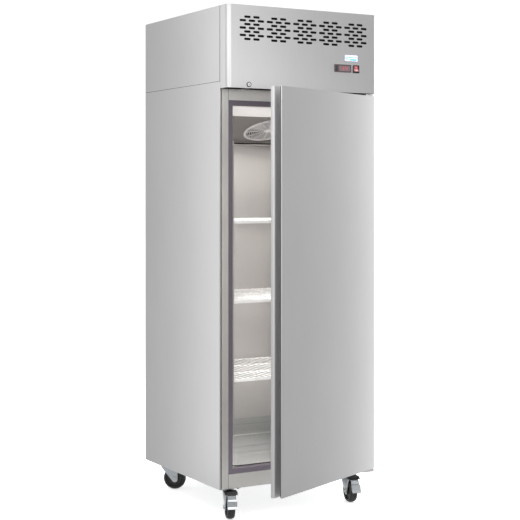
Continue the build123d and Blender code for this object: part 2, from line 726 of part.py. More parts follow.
def door_core(z0, z1):
    """A slice of the space between the skin and the inner panel."""
    cx, cy, r = WIDTH - SIDE_ROUND, FRONT + SIDE_ROUND, SIDE_ROUND - SHEET
    back = DOOR_BACK - LINER
    edges = [
        Line((CORE_FROM, FRONT + SHEET), (cx, FRONT + SHEET)),
        corner_arc(cx, cy, r, 270, 360),
        Polyline((WIDTH - SHEET, cy), (WIDTH - SHEET, back), (CORE_FROM, back), (CORE_FROM, FRONT + SHEET)),
    ]
    return standing(edges, z0, z1)


BOSS_LONG = 20.0


def door_end_caps():
    """The plastic caps that carry the hinge bushings; the top one also has the lock's slot."""
    low = door_core(DOOR_LOW, DOOR_LOW + CAP) + rod(PIVOT_X, PIVOT_Y, DOOR_LOW + CAP, BOSS, BOSS_LONG)
    high = door_core(DOOR_HIGH - CAP, DOOR_HIGH)
    high += rod(PIVOT_X, PIVOT_Y, DOOR_HIGH - CAP - BOSS_LONG, BOSS, BOSS_LONG)
    bore = HINGE_PIN + PIN_GAP
    low -= rod(PIVOT_X, PIVOT_Y, DOOR_LOW, bore, CAP + BOSS_LONG - 2)
    high -= rod(PIVOT_X, PIVOT_Y, DOOR_HIGH - CAP - BOSS_LONG + 2, bore, CAP + BOSS_LONG - 2)
    high -= block(LOCK_X - 8, LOCK_X + 8, BOLT_Y - 4, BOLT_Y + 4, DOOR_HIGH - CAP, DOOR_HIGH)
    return [opened(low), opened(high)]


def door_foam():
    foam = door_core(DOOR_LOW + CAP, DOOR_HIGH - CAP)
    foam -= rod(PIVOT_X, PIVOT_Y, DOOR_LOW + CAP, BOSS, BOSS_LONG)
    return opened(foam - rod(PIVOT_X, PIVOT_Y, DOOR_HIGH - CAP - BOSS_LONG, BOSS, BOSS_LONG))


def door_inner_panel():
    return opened(block(CORE_FROM, WIDTH - SHEET, DOOR_BACK - LINER, DOOR_BACK, DOOR_LOW, DOOR_HIGH))


GASKET_X = 37.0
GASKET_LOW = 174.3
GASKET_HIGH = 1613.8
GASKET_WIDE = 16.0


def door_gasket():
    """The magnetic gasket, a ring of four bars on the inner panel."""
    y0, y1 = DOOR_BACK, -0.4
    right = WIDTH - GASKET_X
    side = block(GASKET_X, GASKET_X + GASKET_WIDE, y0, y1, GASKET_LOW, GASKET_HIGH)
    low = block(GASKET_X + GASKET_WIDE, right - GASKET_WIDE, y0, y1, GASKET_LOW, GASKET_LOW + GASKET_WIDE)
    high = block(GASKET_X + GASKET_WIDE, right - GASKET_WIDE, y0, y1, GASKET_HIGH - GASKET_WIDE, GASKET_HIGH)
    return [opened(piece) for piece in pair(side) + [low, high]]


# ---- top front panel -------------------------------------------------------------------------------
def front_cutter(face, depth=20):
    """A through cutter made from a face drawn in x and z on the panel's front."""
    return Pos(0, FRONT, 0) * Rot(90, 0, 0) * extrude(face, depth, both=True)


def vent_slots():
    """Five groups of seven staggered rows: two slots, then three, and so on."""
    slot = SlotOverall(VENT_LONG, VENT_HIGH)
    places = []
    for row in range(VENT_ROWS):
        z = VENT_TOP_Z - row * VENT_ROW_PITCH
        for group in range(VENT_GROUPS):
            first = VENT_FIRST_X + 3 * group * VENT_PITCH
            if row % 2 == 0:
                places += [(first + (n + 0.5) * VENT_PITCH, z) for n in range(2)]
            else:
                places += [(first + n * VENT_PITCH, z) for n in range(3)]
    return [Pos(x, z) * slot for x, z in places]


def pan_outline(inset, back):
    """The plan of the panel's front and side returns, rounded at both front edges."""
    left, right, front = inset, WIDTH - inset, FRONT + inset
    r_left, r_right = PANEL_ROUND - inset, SIDE_ROUND - inset
    return [
        corner_arc(left + r_left, front + r_left, r_left, 180, 270),
        Line((left + r_left, front), (right - r_right, front)),
        corner_arc(right - r_right, front + r_right, r_right, 270, 360),
        Polyline((right, front + r_right), (right, back), (left, back), (left, front + r_left)),
    ]


def top_front_panel():
    """A folded pan with the vents, the cut-outs and the moving barrels of its hinge."""
    shell = standing(pan_outline(0, PANEL_BACK), PANEL_LOW, HEIGHT)
    shell -= standing(pan_outline(SHEET, PANEL_BACK + 1), PANEL_LOW + SHEET, HEIGHT - SHEET)
    shell -= block(2, WIDTH - 2, PANEL_BACK - 3.5, PANEL_BACK + 1, HEIGHT - SHEET - 1, HEIGHT + 1)
    for start in KNUCKLE_STARTS[1::2]:
        left, right = start + KNUCKLE_END, start + KNUCKLE_SPAN - KNUCKLE_END
        web = block(left, right, PANEL_BACK - 4, PANEL_BACK, HEIGHT - SHEET, HEIGHT)
        barrel = web + rod(left, PANEL_BACK, PANEL_AXIS_Z, KNUCKLE, right - left, "x")
        shell += barrel - rod(start, PANEL_BACK, PANEL_AXIS_Z, HINGE_WIRE + PIN_GAP, KNUCKLE_SPAN, "x")
    face = Sketch() + vent_slots()
    face += Pos(CONTROL_X, CONTROL_Z) * Rectangle(CONTROL_WIDE - 6, CONTROL_HIGH - 4)
    face += Pos(SWITCH_X, SWITCH_Z) * Rectangle(SWITCH_WIDE - 4, SWITCH_HIGH - 4)
    face += Pos(LOCK_X, LOCK_Z) * Circle(LOCK_BARREL)
    shell -= front_cutter(face)
    return shell - block(LOCK_X - 6, LOCK_X + 6, BOLT_Y - 3, BOLT_Y + 3, PANEL_LOW - 1, PANEL_LOW + SHEET + 1)


def on_front(x, z, face, out, back):
    """A piece from a face on the panel's front: it stands out in front and reaches back behind."""
    return Pos(x, FRONT - out, z) * Rot(90, 0, 0) * extrude(face, -(out + back))


def product_label():
    plate = on_front(LABEL_X, LABEL_Z, RectangleRounded(LABEL_WIDE, LABEL_HIGH, 4), 0.8, 0)
    return plate


KEY_X = CONTROL_X - 31.5
KEY_ZS = {"up": CONTROL_Z + 6.2, "down": CONTROL_Z - 6.2}
KEY_GAP = 0.35
KEY_PRESS = 0.8


def temperature_controller():
    """The controller: a bezel with a sunk window, two key wells and its case behind the panel."""
    bezel = on_front(CONTROL_X, CONTROL_Z, RectangleRounded(CONTROL_WIDE, CONTROL_HIGH, 2), 4, 0)
    bezel += on_front(CONTROL_X, CONTROL_Z, Rectangle(CONTROL_WIDE - 6, CONTROL_HIGH - 4), 0, 44)
    bezel -= on_front(CONTROL_X + 7, CONTROL_Z, RectangleRounded(54, 22, 1.5), 5, -3)
    for z in KEY_ZS.values():
        bezel -= on_front(KEY_X, z, RectangleRounded(8 + 2 * KEY_GAP, 8 + 2 * KEY_GAP, 1.5), 5, 0)
    return bezel


def controller_key(z):
    """A square key that sits in its well with room to be pressed."""
    return on_front(KEY_X, z, RectangleRounded(8, 8, 1.2), 4.6, -KEY_PRESS - 0.2)


ROCKER_WIDE = 21.0
ROCKER_HIGH = 24.0
ROCKER_PIVOT_Y = FRONT + 5.0
ROCKER_PIN = 2.0


def power_switch_bezel():
    """The switch frame: a raised rim round a well, its case behind the panel and the rocker's pin."""
    rim = on_front(SWITCH_X, SWITCH_Z, RectangleRounded(SWITCH_WIDE, SWITCH_HIGH, 2.5), 2.5, 0)
    rim += on_front(SWITCH_X, SWITCH_Z, Rectangle(SWITCH_WIDE - 4, SWITCH_HIGH - 4), 0, 26)
    rim -= on_front(SWITCH_X, SWITCH_Z, Rectangle(ROCKER_WIDE + 1, ROCKER_HIGH + 2), 3, 13)
    pin = rod(SWITCH_X - ROCKER_WIDE / 2 - 1, ROCKER_PIVOT_Y, SWITCH_Z, ROCKER_PIN, ROCKER_WIDE + 2, "x")
    return rim + pin


def power_switch_rocker():
    """The rocker, resting with its upper half pressed in."""
    half = ROCKER_HIGH / 2 - 0.8
    proud, edge = -3.0, -6.2
    section = [
        (edge, half),
        (proud, 0),
        (edge, -half),
        (6.5, -half + 2),
        (6.5, half - 2),
    ]
    x0 = SWITCH_X - ROCKER_WIDE / 2
    body = along_x([(y - 2, z) for y, z in section], x0, x0 + ROCKER_WIDE)
    body -= rod(x0 - 1, 0, 0, ROCKER_PIN + PIN_GAP, ROCKER_WIDE + 2, "x")
    turn = Pos(SWITCH_X, ROCKER_PIVOT_Y, SWITCH_Z) * Rot(-ROCKER_TILT, 0, 0)
    return turn * Pos(-SWITCH_X, 0, 0) * body


LOCK_RING = 10.5
LOCK_BARREL = 9.0
LOCK_CORE = 6.5


def lock_body():
    """The lock: a front ring, the barrel through the panel and the bolt's guide block."""
    ring = fillet(rod(LOCK_X, FRONT - 3, LOCK_Z, LOCK_RING, 3, "y").edges().sort_by(Axis.Y)[:1], 1.2)
    body = ring + rod(LOCK_X, FRONT, LOCK_Z, LOCK_BARREL, 9, "y")
    body += block(LOCK_X - 9, LOCK_X + 9, FRONT + 9, BOLT_Y + 6, PANEL_LOW + 4, LOCK_Z + 16)
    body -= rod(LOCK_X, FRONT - 4, LOCK_Z, LOCK_CORE + PIN_GAP, 14, "y")
    return body - block(LOCK_X - 5.2, LOCK_X + 5.2, BOLT_Y - 2.2, BOLT_Y + 2.2, PANEL_LOW, LOCK_Z + 17)


def lock_cylinder():
    """The turning core with its keyway."""
    core = rod(LOCK_X, FRONT - 3.2, LOCK_Z, LOCK_CORE, 12, "y")
    return core - block(LOCK_X - 0.9, LOCK_X + 0.9, FRONT - 4, FRONT + 4, LOCK_Z - 4, LOCK_Z + 4)


def lock_bolt():
    """The flat bolt, drawn up at rest with its tip just below the panel."""
    tip = PANEL_LOW - 7
    return block(LOCK_X - 5, LOCK_X + 5, BOLT_Y - 2, BOLT_Y + 2, tip, LOCK_Z + 12)


# ---- casters, each drawn with its wheel trailing along +x ------------------------------------------
def placed(name, part):
    x, y, dx, dy = CASTERS[name]
    return Pos(x, y, 0) * Rot(0, 0, degrees(atan2(dy, dx))) * part


def caster_plates():
    """The mounting plates, each with its bearing race, king pin and four hexagon bolts."""
    plates = []
    for x, y, *_ in CASTERS.values():
        plate = extrude(Pos(0, 0, UNDERSIDE - 3) * RectangleRounded(78, 78, 8), 3)
        plate += rod(0, 0, CROWN_TOP + 0.3, 23, UNDERSIDE - 3 - CROWN_TOP - 0.3)
        plate += rod(0, 0, 93, 5, CROWN_TOP - 92)
        plate += Pos(0, 0, 93) * extrude(RegularPolygon(8, 6), 5.5)
        bolt = extrude(Pos(0, 0, UNDERSIDE - 8) * RegularPolygon(6, 6), 5)
        plate += [Pos(dx, dy, 0) * bolt for dx in (-28, 28) for dy in (-28, 28)]
        plates.append(Pos(x, y, 0) * plate)
    return plates


CHEEK_IN = 17.0
CHEEK_THICK = 3.0


def fork_cheek(rounds):
    """One cheek of a fork: a plate wrapped round three discs, each given as s, z and radius."""
    rings = [Pos(x, z) * Circle(radius) for x, z, radius in rounds]
    outline = make_hull([edge for ring in rings for edge in ring.edges()])
    cheek = Rot(90, 0, 0) * extrude(outline, CHEEK_THICK / 2, both=True)
    return Pos(0, CHEEK_IN + CHEEK_THICK / 2, 0) * cheek


def axle_bolt():
    """The axle with its head, washer flange and nut."""
    bolt = rod(TRAIL, -26, WHEEL_R, AXLE_R, 52, "y")
    head = Rot(-90, 0, 0) * extrude(RegularPolygon(9, 6), 5)
    bolt += Pos(TRAIL, -CHEEK_IN - CHEEK_THICK - 5, WHEEL_R) * head
    return bolt + Pos(TRAIL, CHEEK_IN + CHEEK_THICK, WHEEL_R) * head


def caster_fork(name):
    """A pressed fork with its axle bolt; the front ones also hold a pedal pin and a black brake cover."""
    braked = name.startswith("front")
    front = (59, CROWN_TOP - 7, 7) if braked else (41, CROWN_TOP - 6, 6)
    cheek = fork_cheek([(-17, CROWN_TOP - 5, 5), front, (TRAIL, WHEEL_R - 4, 12)])
    crown = block(-21, 27, -CHEEK_IN, CHEEK_IN, CROWN_TOP - 4, CROWN_TOP)
    fork = crown + cheek + mirror(cheek, about=Plane.XZ)
    fork -= rod(0, 0, CROWN_TOP - 5, 5 + PIN_GAP, 6)
    fork -= rod(TRAIL, -30, WHEEL_R, AXLE_R, 60, "y")
    pieces = [fork, axle_bolt()]
    if braked:
        pieces[0] += rod(PEDAL_S, -CHEEK_IN - 1, PEDAL_Z, 3, 2 * CHEEK_IN + 2, "y")
        pieces.append(brake_cover())
    return [placed(name, piece) for piece in pieces]


def brake_cover():
    """The black moulded hood on the fork's front, above the pedal."""
    section = [(28, 104), (28, 109.4), (70, 109.4), (82, 101), (78, 100), (68, 106), (62.5, 104)]
    hood = extrude(make_face(Polyline(*[(s, 0, z) for s, z in section], close=True)), 25, both=True)
    return hood


def brake_pedal(name):
    """A bent foot pedal in two steps, on a barrel between the fork's cheeks."""
    thick = 2.5
    middle = [(PEDAL_S, PEDAL_Z + 3), (74, 99), (86, 96), (90, 84), (99, 80), (104, 60), (113, 53)]
    strip = trace([Line(a, b) for a, b in zip(middle, middle[1:])], thick)
    strip = extrude(Plane.XZ * strip, 16.5, both=True)
    wide = block(97, 116, -19, 19, 48, 83) & extrude(
        Plane.XZ * trace([Line(a, b) for a, b in zip(middle[4:], middle[5:])], thick), 19, both=True
    )
    pedal = strip + wide + rod(PEDAL_S, -16.5, PEDAL_Z, 6, 33, "y")
    return placed(name, pedal - rod(PEDAL_S, -20, PEDAL_Z, 3 + PIN_GAP, 40, "y"))


def caster_wheel(name):
    """A moulded wheel: rounded tread, dished sides and a hub that bears on the axle."""
    half, hub = TREAD / 2, CHEEK_IN - 0.4
    edges = [
        Polyline((AXLE_R + PIN_GAP, -hub), (13, -hub), (14, -9), (33, -9), (35, -half), (WHEEL_R - 5, -half)),
        ThreePointArc((WHEEL_R - 5, -half), (WHEEL_R, 0), (WHEEL_R - 5, half)),
        Polyline((WHEEL_R - 5, half), (35, half), (33, 9), (14, 9), (13, hub), (AXLE_R + PIN_GAP, hub)),
        Line((AXLE_R + PIN_GAP, hub), (AXLE_R + PIN_GAP, -hub)),
    ]
    wheel = revolve(make_face(Curve() + edges), Axis.Y)
    return placed(name, Pos(TRAIL, 0, WHEEL_R) * wheel)


# ---- all nodes -------------------------------------------------------------------------------------
def build():
    nodes = {
        "side_panels": side_panels(),
        "back_panel": back_panel(),
        "underside_panel": underside_panel(),
        "front_frame": front_frame(),
        "breaker_strips": breaker_strips(),
        "inner_walls": inner_walls(),
        "inner_floor_and_ceiling": inner_floor_and_ceiling(),
        "wall_foam": wall_foam(),
        "shelf_pilasters": shelf_pilasters(),
        "shelf_clips": shelf_clips(),
        "produce_bin": produce_bin(),
        "interior_light": interior_light(),
        "evaporator_cover": evaporator_cover(),
        "drain_tray": drain_tray(),
        "fan_guard": fan_guard(),
        "evaporator_coil": evaporator_coil(),
        "evaporator_fan_blades": evaporator_fan_blades(),
        "fan_motors": fan_motors(),
        "machine_deck": machine_deck(),
        "housing_sides": housing_sides(),
        "housing_back": housing_back(),
        "housing_top": housing_top(),
        "compressor": compressor(),
        "condenser_coil": condenser_coil(),
        "condenser_fan_blades": condenser_fan_blades(),
        "refrigerant_pipes": refrigerant_pipes(),
        "evaporation_pan": evaporation_pan(),
        "control_box": control_box(),
        "cable_gland": cable_gland(),
        "hinge_brackets": hinge_brackets(),
        "door_skin": door_skin(),
        "door_handle_channel": door_handle_channel(),
        "door_inner_panel": door_inner_panel(),
        "door_foam": door_foam(),
        "door_gasket": door_gasket(),
        "door_end_caps": door_end_caps(),
        "top_front_panel": top_front_panel(),
        "product_label": product_label(),
        "temperature_controller": temperature_controller(),
        "power_switch_bezel": power_switch_bezel(),
        "power_switch_rocker": power_switch_rocker(),
        "lock_body": lock_body(),
        "lock_cylinder": lock_cylinder(),
        "lock_bolt": lock_bolt(),
        "caster_plates": caster_plates(),
    }
    for name, middle in SHELF_MIDDLES.items():
        nodes[f"wire_shelf_{name}"] = wire_shelf(middle)
    for name, z in KEY_ZS.items():
        nodes[f"controller_key_{name}"] = controller_key(z)
    for name in CASTERS:
        nodes[f"caster_fork_{name}"] = caster_fork(name)
        nodes[f"caster_wheel_{name}"] = caster_wheel(name)
        if name.startswith("front"):
            nodes[f"brake_pedal_{name}"] = brake_pedal(name)
    return {name: solids_of(item) for name, item in nodes.items()}


# The origin is the middle of the whole refrigerator's footprint on the floor, its door open at rest.
NODES = build()
BOUNDS = Compound([solid for solids in NODES.values() for solid in solids]).bounding_box()
ORIGIN_X = (BOUNDS.min.X + BOUNDS.max.X) / 2
ORIGIN_Y = (BOUNDS.min.Y + BOUNDS.max.Y) / 2

os.makedirs("parts", exist_ok=True)
for node, solids in NODES.items():
    export_step(Pos(-ORIGIN_X, -ORIGIN_Y, 0) * Compound(solids), f"parts/{node}.step")
print("origin", ORIGIN_X, ORIGIN_Y, "size", BOUNDS.size, "nodes", len(NODES))
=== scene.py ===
import json
import math

import bmesh
import bpy
from mathutils import Matrix, Vector
from mathutils.bvhtree import BVHTree


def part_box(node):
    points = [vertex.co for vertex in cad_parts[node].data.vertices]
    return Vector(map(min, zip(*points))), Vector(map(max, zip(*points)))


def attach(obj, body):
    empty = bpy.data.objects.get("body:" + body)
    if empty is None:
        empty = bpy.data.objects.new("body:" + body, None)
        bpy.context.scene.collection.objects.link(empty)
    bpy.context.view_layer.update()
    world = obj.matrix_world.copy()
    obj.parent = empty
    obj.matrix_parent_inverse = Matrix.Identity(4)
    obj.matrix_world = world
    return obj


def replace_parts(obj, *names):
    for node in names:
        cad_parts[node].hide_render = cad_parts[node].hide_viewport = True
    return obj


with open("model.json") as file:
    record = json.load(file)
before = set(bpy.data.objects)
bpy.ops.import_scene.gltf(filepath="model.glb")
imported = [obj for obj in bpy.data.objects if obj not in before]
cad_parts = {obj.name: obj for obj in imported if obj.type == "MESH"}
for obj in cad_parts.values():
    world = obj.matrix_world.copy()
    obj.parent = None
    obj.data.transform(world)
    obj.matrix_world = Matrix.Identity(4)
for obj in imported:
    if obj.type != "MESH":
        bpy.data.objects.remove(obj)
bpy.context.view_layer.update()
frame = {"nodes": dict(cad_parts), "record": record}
MM = 0.001

# The front of the cabinet faces -y: OUT points away from it, FORWARD into it.
ACROSS = Vector((1, 0, 0))
FORWARD = Vector((0, 1, 0))
OUT = Vector((0, -1, 0))
UP = Vector((0, 0, 1))


# ---- camera and stage ----------------------------------------------------------------------

def make_camera():
    """A level camera at the front left, with a long lens shifted down so that uprights stay upright."""
    data = bpy.data.cameras.new("camera")
    data.lens = 90.74
    data.sensor_width = 36.0
    data.shift_y = -0.1293
    data.clip_end = 200.0
    camera = bpy.data.objects.new("camera", data)
    camera.location = (-2.698, -4.6106, 1.2576)
    camera.rotation_euler = (math.radians(90), 0, math.radians(-29.74))
    bpy.context.scene.collection.objects.link(camera)
    bpy.context.scene.camera = camera


def softbox(name, at, toward, width, height, watts, tint=(1, 1, 1)):
    """A rectangular light that faces a given point and isn't seen itself."""
    data = bpy.data.lights.new(name, "AREA")
    data.shape = "RECTANGLE"
    data.size = width
    data.size_y = height
    data.energy = watts
    data.color = tint
    light = bpy.data.objects.new(name, data)
    light.location = at
    aim = Vector(toward) - Vector(at)
    light.rotation_euler = aim.to_track_quat("-Z", "Y").to_euler()
    light.visible_camera = False
    bpy.context.scene.collection.objects.link(light)
    return light


def keep_off(light, names):
    """Let a light reach everything but the named nodes."""
    skipped = bpy.data.collections.new(light.name + "_skips")
    light.light_linking.receiver_collection = skipped
    for name in names:
        skipped.objects.link(bpy.data.objects[name])
    for entry in skipped.collection_objects:
        entry.light_linking.link_state = "EXCLUDE"


def make_world():
    """A pale studio: a white backdrop, with dimmer walls all round for the steel to reflect."""
    white = (1, 1, 1, 1)
    backdrop_level = 1.05
    dim_wall, bright_wall = 0.54, 1.05
    # The walls brighten toward this direction, between two cosines of the angle to it.
    bright_way = (0.496, 0.868, 0.0)
    fade_from, fade_to = 0.70, 0.93

    world = bpy.data.worlds.new("studio")
    world.use_nodes = True
    bpy.context.scene.world = world
    tree = world.node_tree
    tree.nodes.clear()
    coords = tree.nodes.new("ShaderNodeTexCoord")
    nearness = tree.nodes.new("ShaderNodeVectorMath")
    nearness.operation = "DOT_PRODUCT"
    nearness.inputs[1].default_value = bright_way
    spread = tree.nodes.new("ShaderNodeMapRange")
    spread.interpolation_type = "SMOOTHSTEP"
    spread.inputs["From Min"].default_value = fade_from
    spread.inputs["From Max"].default_value = fade_to
    spread.inputs["To Min"].default_value = dim_wall
    spread.inputs["To Max"].default_value = bright_wall
    walls = tree.nodes.new("ShaderNodeBackground")
    walls.inputs["Color"].default_value = white
    backdrop = tree.nodes.new("ShaderNodeBackground")
    backdrop.inputs["Color"].default_value = white
    backdrop.inputs["Strength"].default_value = backdrop_level
    seen = tree.nodes.new("ShaderNodeLightPath")
    choose = tree.nodes.new("ShaderNodeMixShader")
    out = tree.nodes.new("ShaderNodeOutputWorld")
    tree.links.new(coords.outputs["Generated"], nearness.inputs[0])
    tree.links.new(nearness.outputs["Value"], spread.inputs["Value"])
    tree.links.new(spread.outputs["Result"], walls.inputs["Strength"])
    tree.links.new(seen.outputs["Is Camera Ray"], choose.inputs["Fac"])
    tree.links.new(walls.outputs["Background"], choose.inputs[1])
    tree.links.new(backdrop.outputs["Background"], choose.inputs[2])
    tree.links.new(choose.outputs["Shader"], out.inputs["Surface"])


def make_floor():
    """A pale floor that takes a faint shadow, and that the steel doesn't reflect."""
    bm = bmesh.new()
    bmesh.ops.create_grid(bm, x_segments=8, y_segments=8, size=30)
    mesh = bpy.data.meshes.new("floor")
    bm.to_mesh(mesh)
    bm.free()
    f = Finish("floor", Roughness=0.9, Specular_IOR_Level=0.1,
               Emission_Strength=0.60, Emission_Color=(1, 1, 1, 1))
    f.colour(f.ramp(f.field((0.7, 0.7, 0.7)), [(0.3, grey(0.93)), (0.7, grey(0.95))]))
    mesh.materials.append(f.mat)
    obj = bpy.data.objects.new("floor", mesh)
    obj.visible_glossy = False
    bpy.context.scene.collection.objects.link(obj)


def make_lights():
    """Soft lights for the steel to mirror, and a lamp and three small fills inside the cabinet."""
    # The left side sheet mirrors this one, so that it brightens toward its front edge.
    softbox("side_glow", at=(-1.05, 0.77, 1.1), toward=(1.0, 0.77, 1.1), width=0.86, height=2.6, watts=6.2)

    # The door mirrors these two. They stand too near the right side of the cabinet to light it as well.
    near_right = (
        softbox("door_glow", at=(1.30, 0.45, 1.0), toward=(-1.0, 0.45, 1.0),
                width=1.5, height=2.6, watts=19),
        softbox("door_top_glow", at=(1.34, 0.45, 1.9), toward=(-1.0, 0.45, 1.9),
                width=1.5, height=1.4, watts=1.0),
    )
    for light in near_right:
        keep_off(light, ("side_panels", "housing_sides"))

    # The front panel, then its rounded left edge: a bright light, and a dimmer one nearer the front.
    softbox("panel_glow", at=(0.05, -1.8, 2.05), toward=(0.05, 1.0, 2.05), width=1.3, height=0.9, watts=1.7)
    edge = (-0.34, -0.24, 2.05)
    softbox("edge_glow", at=(-1.66, -0.945, 2.05), toward=edge, width=1.9, height=0.65, watts=4.7)
    softbox("edge_fall", at=(-0.652, -1.707, 2.05), toward=edge, width=1.2, height=0.65, watts=2.3)

    # The free edge of the door, the front frame, and the whole room.
    softbox("nose_glow", at=(-1.40, -1.50, 0.8), toward=(-0.27, -0.49, 0.8), width=1.1, height=1.8, watts=2.4)
    softbox("front_fill", at=(0.5, -2.6, 1.15), toward=(0.3, 0.0, 1.15), width=1.6, height=1.3, watts=6.8)
    softbox("overhead", at=(-0.3, -0.6, 3.6), toward=(-0.3, -0.6, 0.0), width=5.0, height=5.0, watts=150)

    warm = (1.0, 0.975, 0.955)
    softbox("lamp", at=(0.0, -0.02, 1.44), toward=(0.0, 0.10, 0.0), width=0.45, height=0.20,
            watts=2.6, tint=warm)
    for level, power in ((1.09, 1.5), (0.79, 1.4), (0.49, 1.6)):
        softbox("bay_glow", at=(0.0, -0.10, level), toward=(0.0, 0.05, 0.0), width=0.42, height=0.20,
                watts=power, tint=warm)


# ---- materials -----------------------------------------------------------------------------

def shade(rgb, k):
    """A colour made darker or lighter."""
    return tuple(c * k for c in rgb)


def grey(level):
    return (level, level, level)


class Finish:
    """A procedural material: noise in the object's own coordinates drives colour, roughness and bump."""

    # The colour sockets of a Mix node, which share their names with its other sockets.
    MIX_FIRST, MIX_SECOND, MIX_RESULT = 6, 7, 2

    def __init__(self, name, **sockets):
        self.mat = bpy.data.materials.new(name)
        self.mat.use_nodes = True
        self.tree = self.mat.node_tree
        self.shader = self.tree.nodes["Principled BSDF"]
        for key, value in sockets.items():
            self.shader.inputs[key.replace("_", " ")].default_value = value
        self.coords = self.tree.nodes.new("ShaderNodeTexCoord").outputs["Object"]

    def node(self, kind, **values):
        """A new node, with values for its settings or else for its sockets."""
        made = self.tree.nodes.new("ShaderNode" + kind)
        for key, value in values.items():
            if hasattr(made, key):
                setattr(made, key, value)
            else:
                made.inputs[key.replace("_", " ")].default_value = value
        return made

    def link(self, output, socket):
        self.tree.links.new(output, socket)

    def scaled(self, scale):
        """The coordinates, multiplied along each axis."""
        place = self.node("Mapping")
        place.inputs["Scale"].default_value = scale
        self.link(self.coords, place.inputs["Vector"])
        return place.outputs["Vector"]

    def field(self, scale, detail=4.0, roughness=0.5, distortion=0.0):
        """Cloudy noise."""
        noise = self.node("TexNoise", Scale=1.0, Detail=detail, Roughness=roughness, Distortion=distortion)
        self.link(self.scaled(scale), noise.inputs["Vector"])
        return noise.outputs["Fac"]

    def cells(self, scale):
        """Crystals, as the distance to the nearest of scattered points."""
        cell = self.node("TexVoronoi", feature="F1", Scale=1.0)
        self.link(self.scaled(scale), cell.inputs["Vector"])
        return cell.outputs["Distance"]

    def ramp(self, value, stops):
        """Colours along a value, from (position, colour) stops."""
        ramp = self.node("ValToRGB")
        line = ramp.color_ramp
        while len(line.elements) < len(stops):
            line.elements.new(0.5)
        for element, (at, colour) in zip(line.elements, stops):
            element.position = at
            element.color = (*colour, 1.0)
        self.link(value, ramp.inputs["Fac"])
        return ramp.outputs["Color"]

    def span(self, value, low, high, start=0.3, end=0.7):
        """A value between start and end, spread over low to high."""
        spread = self.node("MapRange", From_Min=start, From_Max=end, To_Min=low, To_Max=high)
        self.link(value, spread.inputs["Value"])
        return spread.outputs["Result"]

    def multiplied(self, first, second):
        """One colour tinted by another."""
        mix = self.node("Mix", data_type="RGBA", blend_type="MULTIPLY")
        mix.inputs["Factor"].default_value = 1.0
        self.link(first, mix.inputs[self.MIX_FIRST])
        self.link(second, mix.inputs[self.MIX_SECOND])
        return mix.outputs[self.MIX_RESULT]

    def colour(self, output):
        self.link(output, self.shader.inputs["Base Color"])

    def rough(self, output):
        self.link(output, self.shader.inputs["Roughness"])

    def bump(self, height, strength, distance):
        bump = self.node("Bump", Strength=strength, Distance=distance)
        self.link(height, bump.inputs["Height"])
        self.link(bump.outputs["Normal"], self.shader.inputs["Normal"])


def brushed(name, rgb, rough=(0.29, 0.35), grain=(900, 900, 7), depth=0.03, bump=0.015):
    """Sheet metal with a fine grain and the faint clouding of a polishing belt."""
    f = Finish(name, Metallic=1.0)
    lines = f.field(grain, detail=6.0, roughness=0.62)
    clouds = f.field((5, 5, 3), detail=3.0)
    fine = f.ramp(lines, [(0.30, shade(rgb, 1 - depth)), (0.72, shade(rgb, 1 + depth * 0.5))])
    wide = f.ramp(clouds, [(0.30, (0.972, 0.972, 0.975)), (0.70, grey(1.0))])
    f.colour(f.multiplied(fine, wide))
    f.rough(f.span(lines, *rough))
    f.bump(lines, strength=bump, distance=0.4 * MM)
    return f.mat


def plated(name, rgb, warm, rough=(0.24, 0.42)):
    """Zinc plate: bright, patchy between blue and straw, and slightly scuffed."""
    f = Finish(name, Metallic=1.0)
    patches = f.field((48, 48, 48), detail=5.0, roughness=0.6, distortion=0.6)
    scuffs = f.field((420, 420, 90), roughness=0.7)
    tint = f.ramp(patches, [(0.28, rgb), (0.52, shade(rgb, 0.93)), (0.74, warm)])
    wear = f.ramp(scuffs, [(0.35, grey(0.86)), (0.60, grey(1.0))])
    f.colour(f.multiplied(tint, wear))
    f.rough(f.span(patches, *rough))
    f.bump(scuffs, strength=0.08, distance=0.5 * MM)
    return f.mat


def moulded(name, rgb, rough=(0.36, 0.50), grit=900, bump=0.10, depth=0.10, coat=0.0, gloss=0.5):
    """Moulded plastic or paint with a fine texture, uneven gloss and slightly uneven colour."""
    f = Finish(name, Coat_Weight=coat, Coat_Roughness=0.12, Specular_IOR_Level=gloss)
    specks = f.field((grit, grit, grit), detail=3.0, roughness=0.6)
    clouds = f.field((14, 14, 14), roughness=0.55)
    fine = f.ramp(specks, [(0.30, shade(rgb, 1 - depth)), (0.70, shade(rgb, 1 + depth * 0.4))])
    wide = f.ramp(clouds, [(0.30, grey(0.955)), (0.70, grey(1.0))])
    f.colour(f.multiplied(fine, wide))
    f.rough(f.span(clouds, *rough))
    f.bump(specks, strength=bump, distance=0.4 * MM)
    return f.mat


def ink(name, rgb):
    """A smooth, even printed colour."""
    return moulded(name, rgb, (0.25, 0.35), grit=800, bump=0.03, depth=0.06)


def spangled(name, rgb):
    """Hot-dip galvanised sheet: pale crystals of slightly different greys."""
    f = Finish(name, Metallic=0.9)
    crystals = f.cells((95, 95, 95))
    haze = f.field((7, 7, 7))
    tint = f.ramp(crystals, [(0.05, shade(rgb, 1.08)), (0.50, rgb), (0.95, shade(rgb, 0.86))])
    wide = f.ramp(haze, [(0.30, grey(0.92)), (0.70, grey(1.0))])
    f.colour(f.multiplied(tint, wide))
    f.rough(f.span(crystals, 0.34, 0.55, start=0.1, end=0.9))
    f.bump(crystals, strength=0.05, distance=0.6 * MM)
    return f.mat


